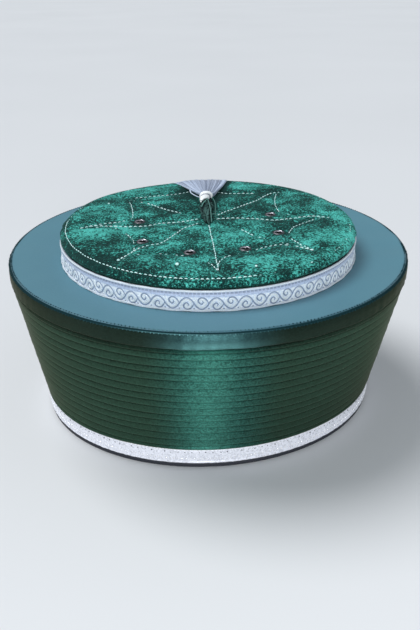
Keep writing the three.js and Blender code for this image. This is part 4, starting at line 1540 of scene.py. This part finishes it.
# %% [markdown]
# The tassel starts in the middle of the star as a bundle of dark threads, passes through a neck wound with
# white thread and then fans out over the crown's far edge down to the ledge. Hair curves could make it, but
# thin tubes in one mesh keep their exact form everywhere. Each thread follows the same course at its
# own share of the width.

# %% The tassel's course
TASSEL_WAY = np.array([math.cos(TASSEL_ANGLE), math.sin(TASSEL_ANGLE), 0])
TASSEL_ACROSS = np.array([-math.sin(TASSEL_ANGLE), math.cos(TASSEL_ANGLE), 0])
UP = np.array([0, 0, 1.0])
NEARLY_UP = (0.02, 0.03, 1)
# Distance from the crown's middle, height, reach to the left and right, and thickness, in millimetres
SKIRT_COURSE = [
    (34.6, 118.0, 3.6, 3.6, 4.0), (38.5, 117.8, 4.0, 5.6, 3.6), (43.0, 117.4, 5.3, 6.9, 3.0),
    (50.5, 117.0, 8.4, 8.6, 2.2), (64.0, 116.5, 13.6, 12.8, 1.6), (71.0, 116.1, 15.8, 14.4, 1.4),
    (78.0, 115.6, 18.2, 15.9, 1.3), (84.0, 114.8, 20.2, 16.7, 1.3), (88.6, 112.6, 21.0, 17.5, 1.4),
    (90.6, 108.0, 21.4, 18.3, 1.5), (91.2, 103.5, 21.8, 19.0, 1.5), (92.8, 99.4, 22.0, 19.7, 1.5),
    (97.0, 98.1, 22.3, 20.4, 1.4), (101.0, 98.5, 22.6, 21.0, 1.2),
]
course = smooth_line(SKIRT_COURSE, 3) * MM


def on_course(share, sideways, lift):
    """Points at shares of the course. sideways and lift run from -1 to 1 within its reach and thickness."""
    at = share * (len(course) - 1)
    distance, height, left, right, thickness = [
        np.interp(at, np.arange(len(course)), course[:, k]) for k in range(5)
    ]
    off = sideways * np.where(np.asarray(sideways) > 0, left, right)
    forward = np.sqrt(np.maximum(distance**2 - off**2, 0))
    sag = eased(off, 8 * MM, 20 * MM) * eased(distance, 40 * MM, 80 * MM) * eased(height, 108 * MM, 112 * MM)
    rise = height - 1.2 * MM * sag + lift * thickness / 2
    return forward[:, None] * TASSEL_WAY + off[:, None] * TASSEL_ACROSS + rise[:, None] * UP


# %% The skirt's threads
SKIRT_THREADS = 460
SKIRT_STEPS = 26
THREAD_RADIUS = 0.27 * MM
thread_random = np.random.default_rng(71)
STRANDS = 46
strand_lift = thread_random.uniform(-0.6, 0.6, STRANDS + 1)
strand_tone = thread_random.uniform(0, 1, STRANDS + 1)
skirt = Heap()
for i in range(SKIRT_THREADS):
    place = 2 * (i + 0.5) / SKIRT_THREADS - 1
    strand = int((place + 1) / 2 * STRANDS)
    middle = 2 * (strand + 0.5) / STRANDS - 1
    place = float(np.clip(middle + 0.7 * (place - middle) + thread_random.normal(0, 0.010), -1, 1))
    lift = np.clip(strand_lift[strand] + thread_random.uniform(-0.4, 0.4), -0.95, 0.95)
    # Threads that lie higher in the skirt are painted lighter: painted light from above.
    tone = np.clip(0.07 + 0.36 * strand_tone[strand] + 0.22 * lift + thread_random.uniform(0, 0.42), 0, 1)
    tone = max(tone, 0.95) if -0.93 < place < -0.8 else tone
    share = np.linspace(0, thread_random.uniform(0.93, 1.0), SKIRT_STEPS)
    sway = thread_random.normal(0, 0.02) * np.sin(share * math.pi * thread_random.uniform(0.8, 2.2))
    near = np.clip(share * 5, 0, 1)
    sideways = np.clip(place * (0.9 + 0.1 * near) + sway * near, -1, 1)
    line = on_course(share, sideways, lift * (1 - 0.2 * near))
    taper = THREAD_RADIUS * np.linspace(1.05, 0.85, SKIRT_STEPS)
    skirt.add(*tube(line, taper, NEARLY_UP, sides=4), tone=tone)
# A lock that has sprung out of the left edge near the neck, in millimetres along, to the side and up
SPRUNG_LOCK = [(33, 3.0, 117.3), (39.2, 6.2, 116.9), (43.2, 8.5, 117.2), (47, 9.6, 117.3), (51, 9.9, 117.6)]
SPRUNG_THREADS = 5
for _ in range(SPRUNG_THREADS):
    path = smooth_line(SPRUNG_LOCK, 6) * MM
    spread = np.linspace(0.2, 1, len(path)) * MM
    path[:, 1] += spread * thread_random.uniform(-0.35, 0.25)
    path[:, 2] += spread * thread_random.uniform(-0.3, 0.3)
    line = path[:, :1] * TASSEL_WAY + path[:, 1:2] * TASSEL_ACROSS + path[:, 2:] * UP
    skirt.add(*tube(line, THREAD_RADIUS, NEARLY_UP, sides=5), tone=thread_random.uniform(0.8, 1))
skirt_threads = skirt.make("tassel_skirt_threads")
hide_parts("tassel_skirt")

# %% [markdown]
# Between the threads one would see through to the velvet. More threads would close the gaps, but one thin
# smooth body in a dark tone, inside the skirt, does it with far fewer faces. Its dark tone is painted shade
# between the threads.

# %% A thin core that fills the skirt between its threads
CORE_STEPS = 34
CORE_WIDE = 15
CORE_REACH = 0.93
# Painted shade: the core's dark tone.
CORE_TONE = 0.1


def core_side(lift):
    """Rows of points across the skirt, this far up or down in its thickness."""
    share = np.linspace(0, CORE_REACH, CORE_STEPS)
    across = np.linspace(-CORE_REACH, CORE_REACH, CORE_WIDE)
    return np.array([on_course(share, sideways, np.full(CORE_STEPS, lift)) for sideways in across])


core_rings = np.concatenate([core_side(0.25), core_side(-0.35)[::-1]]).transpose(1, 0, 2)
core_faces = capped_faces(CORE_STEPS, 2 * CORE_WIDE)
skirt_core = add_object("tassel_skirt_core", core_rings, core_faces)
keep_attribute(skirt_core, "tone", np.full(CORE_STEPS * 2 * CORE_WIDE, CORE_TONE))

# %% [markdown]
# The stem is a bundle of threads that twist a little round each other. Short fluff stands out of it, and a
# few pale threads have come loose. The neck is bound with one thread, wound round and round, so it is one
# tube that follows a screw line, with a plain core inside. Real turns look right from every side, which bump
# wouldn't.

# %% The stem and the wound neck
NECK_HALF_WIDTH = 4.3 * MM
NECK_HALF_THICK = 3.2 * MM
NECK_HEIGHT = 118.1 * MM
STEM_THREADS = 44
STEM_STEPS = 22
FLUFF_BITS = 70
STEM_WAY = (0.01, 0.02, 1)


def along_tassel(along_mm, across_mm, height_mm):
    """Points from their distance along the tassel, to its side and up, in millimetres."""
    along, across, height = np.broadcast_arrays(along_mm, across_mm, height_mm)
    parts = along[:, None] * TASSEL_WAY + across[:, None] * TASSEL_ACROSS + height[:, None] * UP
    return parts * MM


stem = Heap()
for i in range(STEM_THREADS):
    layer = math.sqrt((i + 0.5) / STEM_THREADS)
    share = np.linspace(0, 1, STEM_STEPS)
    half_width = np.interp(share, [0, 0.2, 0.6, 1], [1.8, 3.4, 3.7, 3.4]) * layer
    half_thick = np.interp(share, [0, 0.15, 1], [1.0, 1.8, 1.8]) * layer
    turn = 2 * math.pi * i / STEM_THREADS * 7 + 1.3 * share + 0.1 * np.sin(9 * share + i)
    level = np.interp(share, [0, 0.12, 0.9, 1], [114.4, 115.7, 116.0, 116.3])
    start = thread_random.uniform(-7, 4)
    shift = np.interp(share, [0, 0.6, 1], [0.5, 0.3, -0.5])
    across = shift + half_width * np.cos(turn)
    line = along_tassel(start + (32 - start) * share, across, level + half_thick * np.sin(turn))
    paleness = thread_random.uniform(0, 0.15) + (1 - share) ** 1.5 * thread_random.uniform(0.05, 0.4)
    stem.add(*tube(line, 0.5 * MM, STEM_WAY), tone=np.repeat(paleness, 6))
# Short fluff that stands out of the threads
for _ in range(FLUFF_BITS):
    place = np.array([thread_random.uniform(-6, 27), 0.5 + thread_random.uniform(-4, 4)])
    level = 117.6 - 0.11 * (place[1] - 0.5) ** 2 - 0.12 * max(0, 3 - place[0])
    way = thread_random.normal(0, 1, 3) * (1.0, 0.9, 0.35)
    half_way = (*(place + 0.8 * way[:2]), level + 0.5)
    far_end = (*(place + 1.7 * way[:2]), level + way[2])
    fluff = along_tassel(*smooth_line([(*place, level), half_way, far_end], 3).T)
    stem.add(*tube(fluff, 0.17 * MM, STEM_WAY, sides=4), tone=thread_random.uniform(0.05, 0.45))
# The pale threads on and beside the stem: distance along, to the side and up, in millimetres
LOOSE_THREADS = [
    {
        "line": [(30, -1.0, 118.4), (21.4, -1.2, 119), (13.3, -1.6, 119), (7.8, -1.8, 118.8)]
        + [(-0.4, -1.9, 118.4), (-9.2, -1.9, 115.4)],
        "tone": 0.5,
    },
    {
        "line": [(31, -3.9, 118.4), (25.4, -5.2, 117.4), (20.7, -5.5, 116.9), (14.1, -5.3, 116.4)]
        + [(6.4, -4.9, 116), (1.4, -5.2, 115.2)],
        "tone": 0.4,
    },
    {
        "line": [(27, -0.4, 118.2), (20.7, 0.9, 119), (18.1, 2.0, 118.8)]
        + [(15.5, 2.8, 118.2), (14, 3.2, 117.6)],
        "tone": 0.7,
    },
    {"line": [(6, 1.6, 118.3), (-1.5, 1.1, 118.3), (-5.4, 0.6, 117.6), (-7.1, 0.5, 116)], "tone": 0.3},
]
for loose in LOOSE_THREADS:
    line = along_tassel(*smooth_line(loose["line"], 6).T)
    stem.add(*tube(line, THREAD_RADIUS, STEM_WAY), tone=loose["tone"])
stem_threads = stem.make("tassel_stem_threads")
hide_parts("tassel_stem")

NECK_TURNS = 13
NECK_SLANT = 0.95
# The winding is thin at first, sinks into a groove half way, where its turns are painted dark grey as
# painted shade, and is full beyond it
GROOVE_START = 0.5
GROOVE_END = 0.63
POINTS_PER_TURN = 28
WINDING_RADIUS = 0.46 * MM
NECK_CORE_STEPS = 8
NECK_CORE_SIDES = 24


def neck_form(share):
    """How far along a share of the winding lies, its size, how far it is off to the left, and its level."""
    stops = [0, 0.12, GROOVE_START, GROOVE_END, 1]
    along = np.interp(share, stops, [28.0, 28.7, 31.2, 32.8, 34.8])
    size = np.interp(share, stops, [0.60, 0.70, 0.75, 0.94, 1.03])
    left = np.interp(share, stops, [0.8, 0.8, 0.8, -0.1, -0.3])
    return along, size, left, NECK_HEIGHT / MM + np.interp(share, stops, [-0.9, -0.7, -0.3, 0, 0.2])


def round_neck(share, turn, inside):
    """Points round the neck at a share of its length, this far inside its surface in millimetres."""
    along, size, left, level = neck_form(share)
    across = np.cos(turn) * size * (NECK_HALF_WIDTH / MM - inside)
    up = level + np.sin(turn) * size * (NECK_HALF_THICK / MM - inside)
    return along_tassel(along - NECK_SLANT * (1 - share) * (across + left), across + left, up)


neck_turn = np.linspace(0, 2 * math.pi * NECK_TURNS, NECK_TURNS * POINTS_PER_TURN)
neck_share = neck_turn / neck_turn[-1]
is_grey_turn = (neck_share > GROOVE_START) & (neck_share < GROOVE_END)
neck_line = round_neck(neck_share, neck_turn, np.where(is_grey_turn, 1.0, 0.45))
neck = Heap()
# Painted shade: the turns sunk in the groove are painted dark grey.
neck_tone = np.repeat(np.where(is_grey_turn, 0.0, 1.0), 8)
neck.add(*tube(neck_line, WINDING_RADIUS, TASSEL_WAY, sides=8), tone=neck_tone)
core_turn = all_round(NECK_CORE_SIDES)
neck_core = [round_neck(share, core_turn, 0.75) for share in np.linspace(0.02, 0.98, NECK_CORE_STEPS)]
neck.add(np.array(neck_core), capped_faces(NECK_CORE_STEPS, NECK_CORE_SIDES), tone=0.3)
neck_winding = neck.make("tassel_neck_winding")
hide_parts("tassel_neck")

# %% [markdown]
# Silky thread is smooth and glossy, worn thread is matt. Each thread of a bundle carries its own tone on its
# points, so one finish gives every thread its own shade and the bundle looks combed, not painted.

# %% Threads' finishes
silver_thread = Finish("silver_thread", Metallic=0.1, Roughness=0.35, Sheen_Weight=0.3, Sheen_Roughness=0.3)
silver_tone = silver_thread.attribute("tone")
silver_thread.feed("Base Color", silver_tone.choose((0.10, 0.14, 0.25), (0.68, 0.78, 0.96)))
silver_thread.on(skirt_threads, skirt_core)

dark_thread = Finish("dark_thread", Roughness=0.8, Specular_IOR_Level=0.15)
dark_tone = dark_thread.attribute("tone")
dark_tone = dark_tone.ramp(0.1, 0.9, smooth=False)
dark_thread.feed("Base Color", dark_tone.choose((0.002, 0.013, 0.014), (0.22, 0.50, 0.44)))
dark_thread.on(stem_threads)

white_thread = Finish("white_thread", Roughness=0.25, Sheen_Weight=0.3, Coat_Weight=0.3)
white_tone = white_thread.attribute("tone")
white_thread.feed("Base Color", white_tone.choose((0.22, 0.24, 0.30), (0.97, 0.99, 1.0)))
white_thread.on(neck_winding)

# %% [markdown]
# The dressed hat is meant to stay as large as the plain one, so the sides of both boxes are printed next to
# each other.

# %% Keep both boxes and finish
visual_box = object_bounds()
for axis in range(3):
    sides = [box[1][axis] - box[0][axis] for box in (cad_box, visual_box)]
    print("side", "XYZ"[axis], "plain", round(sides[0], 4), "dressed", round(sides[1], 4))
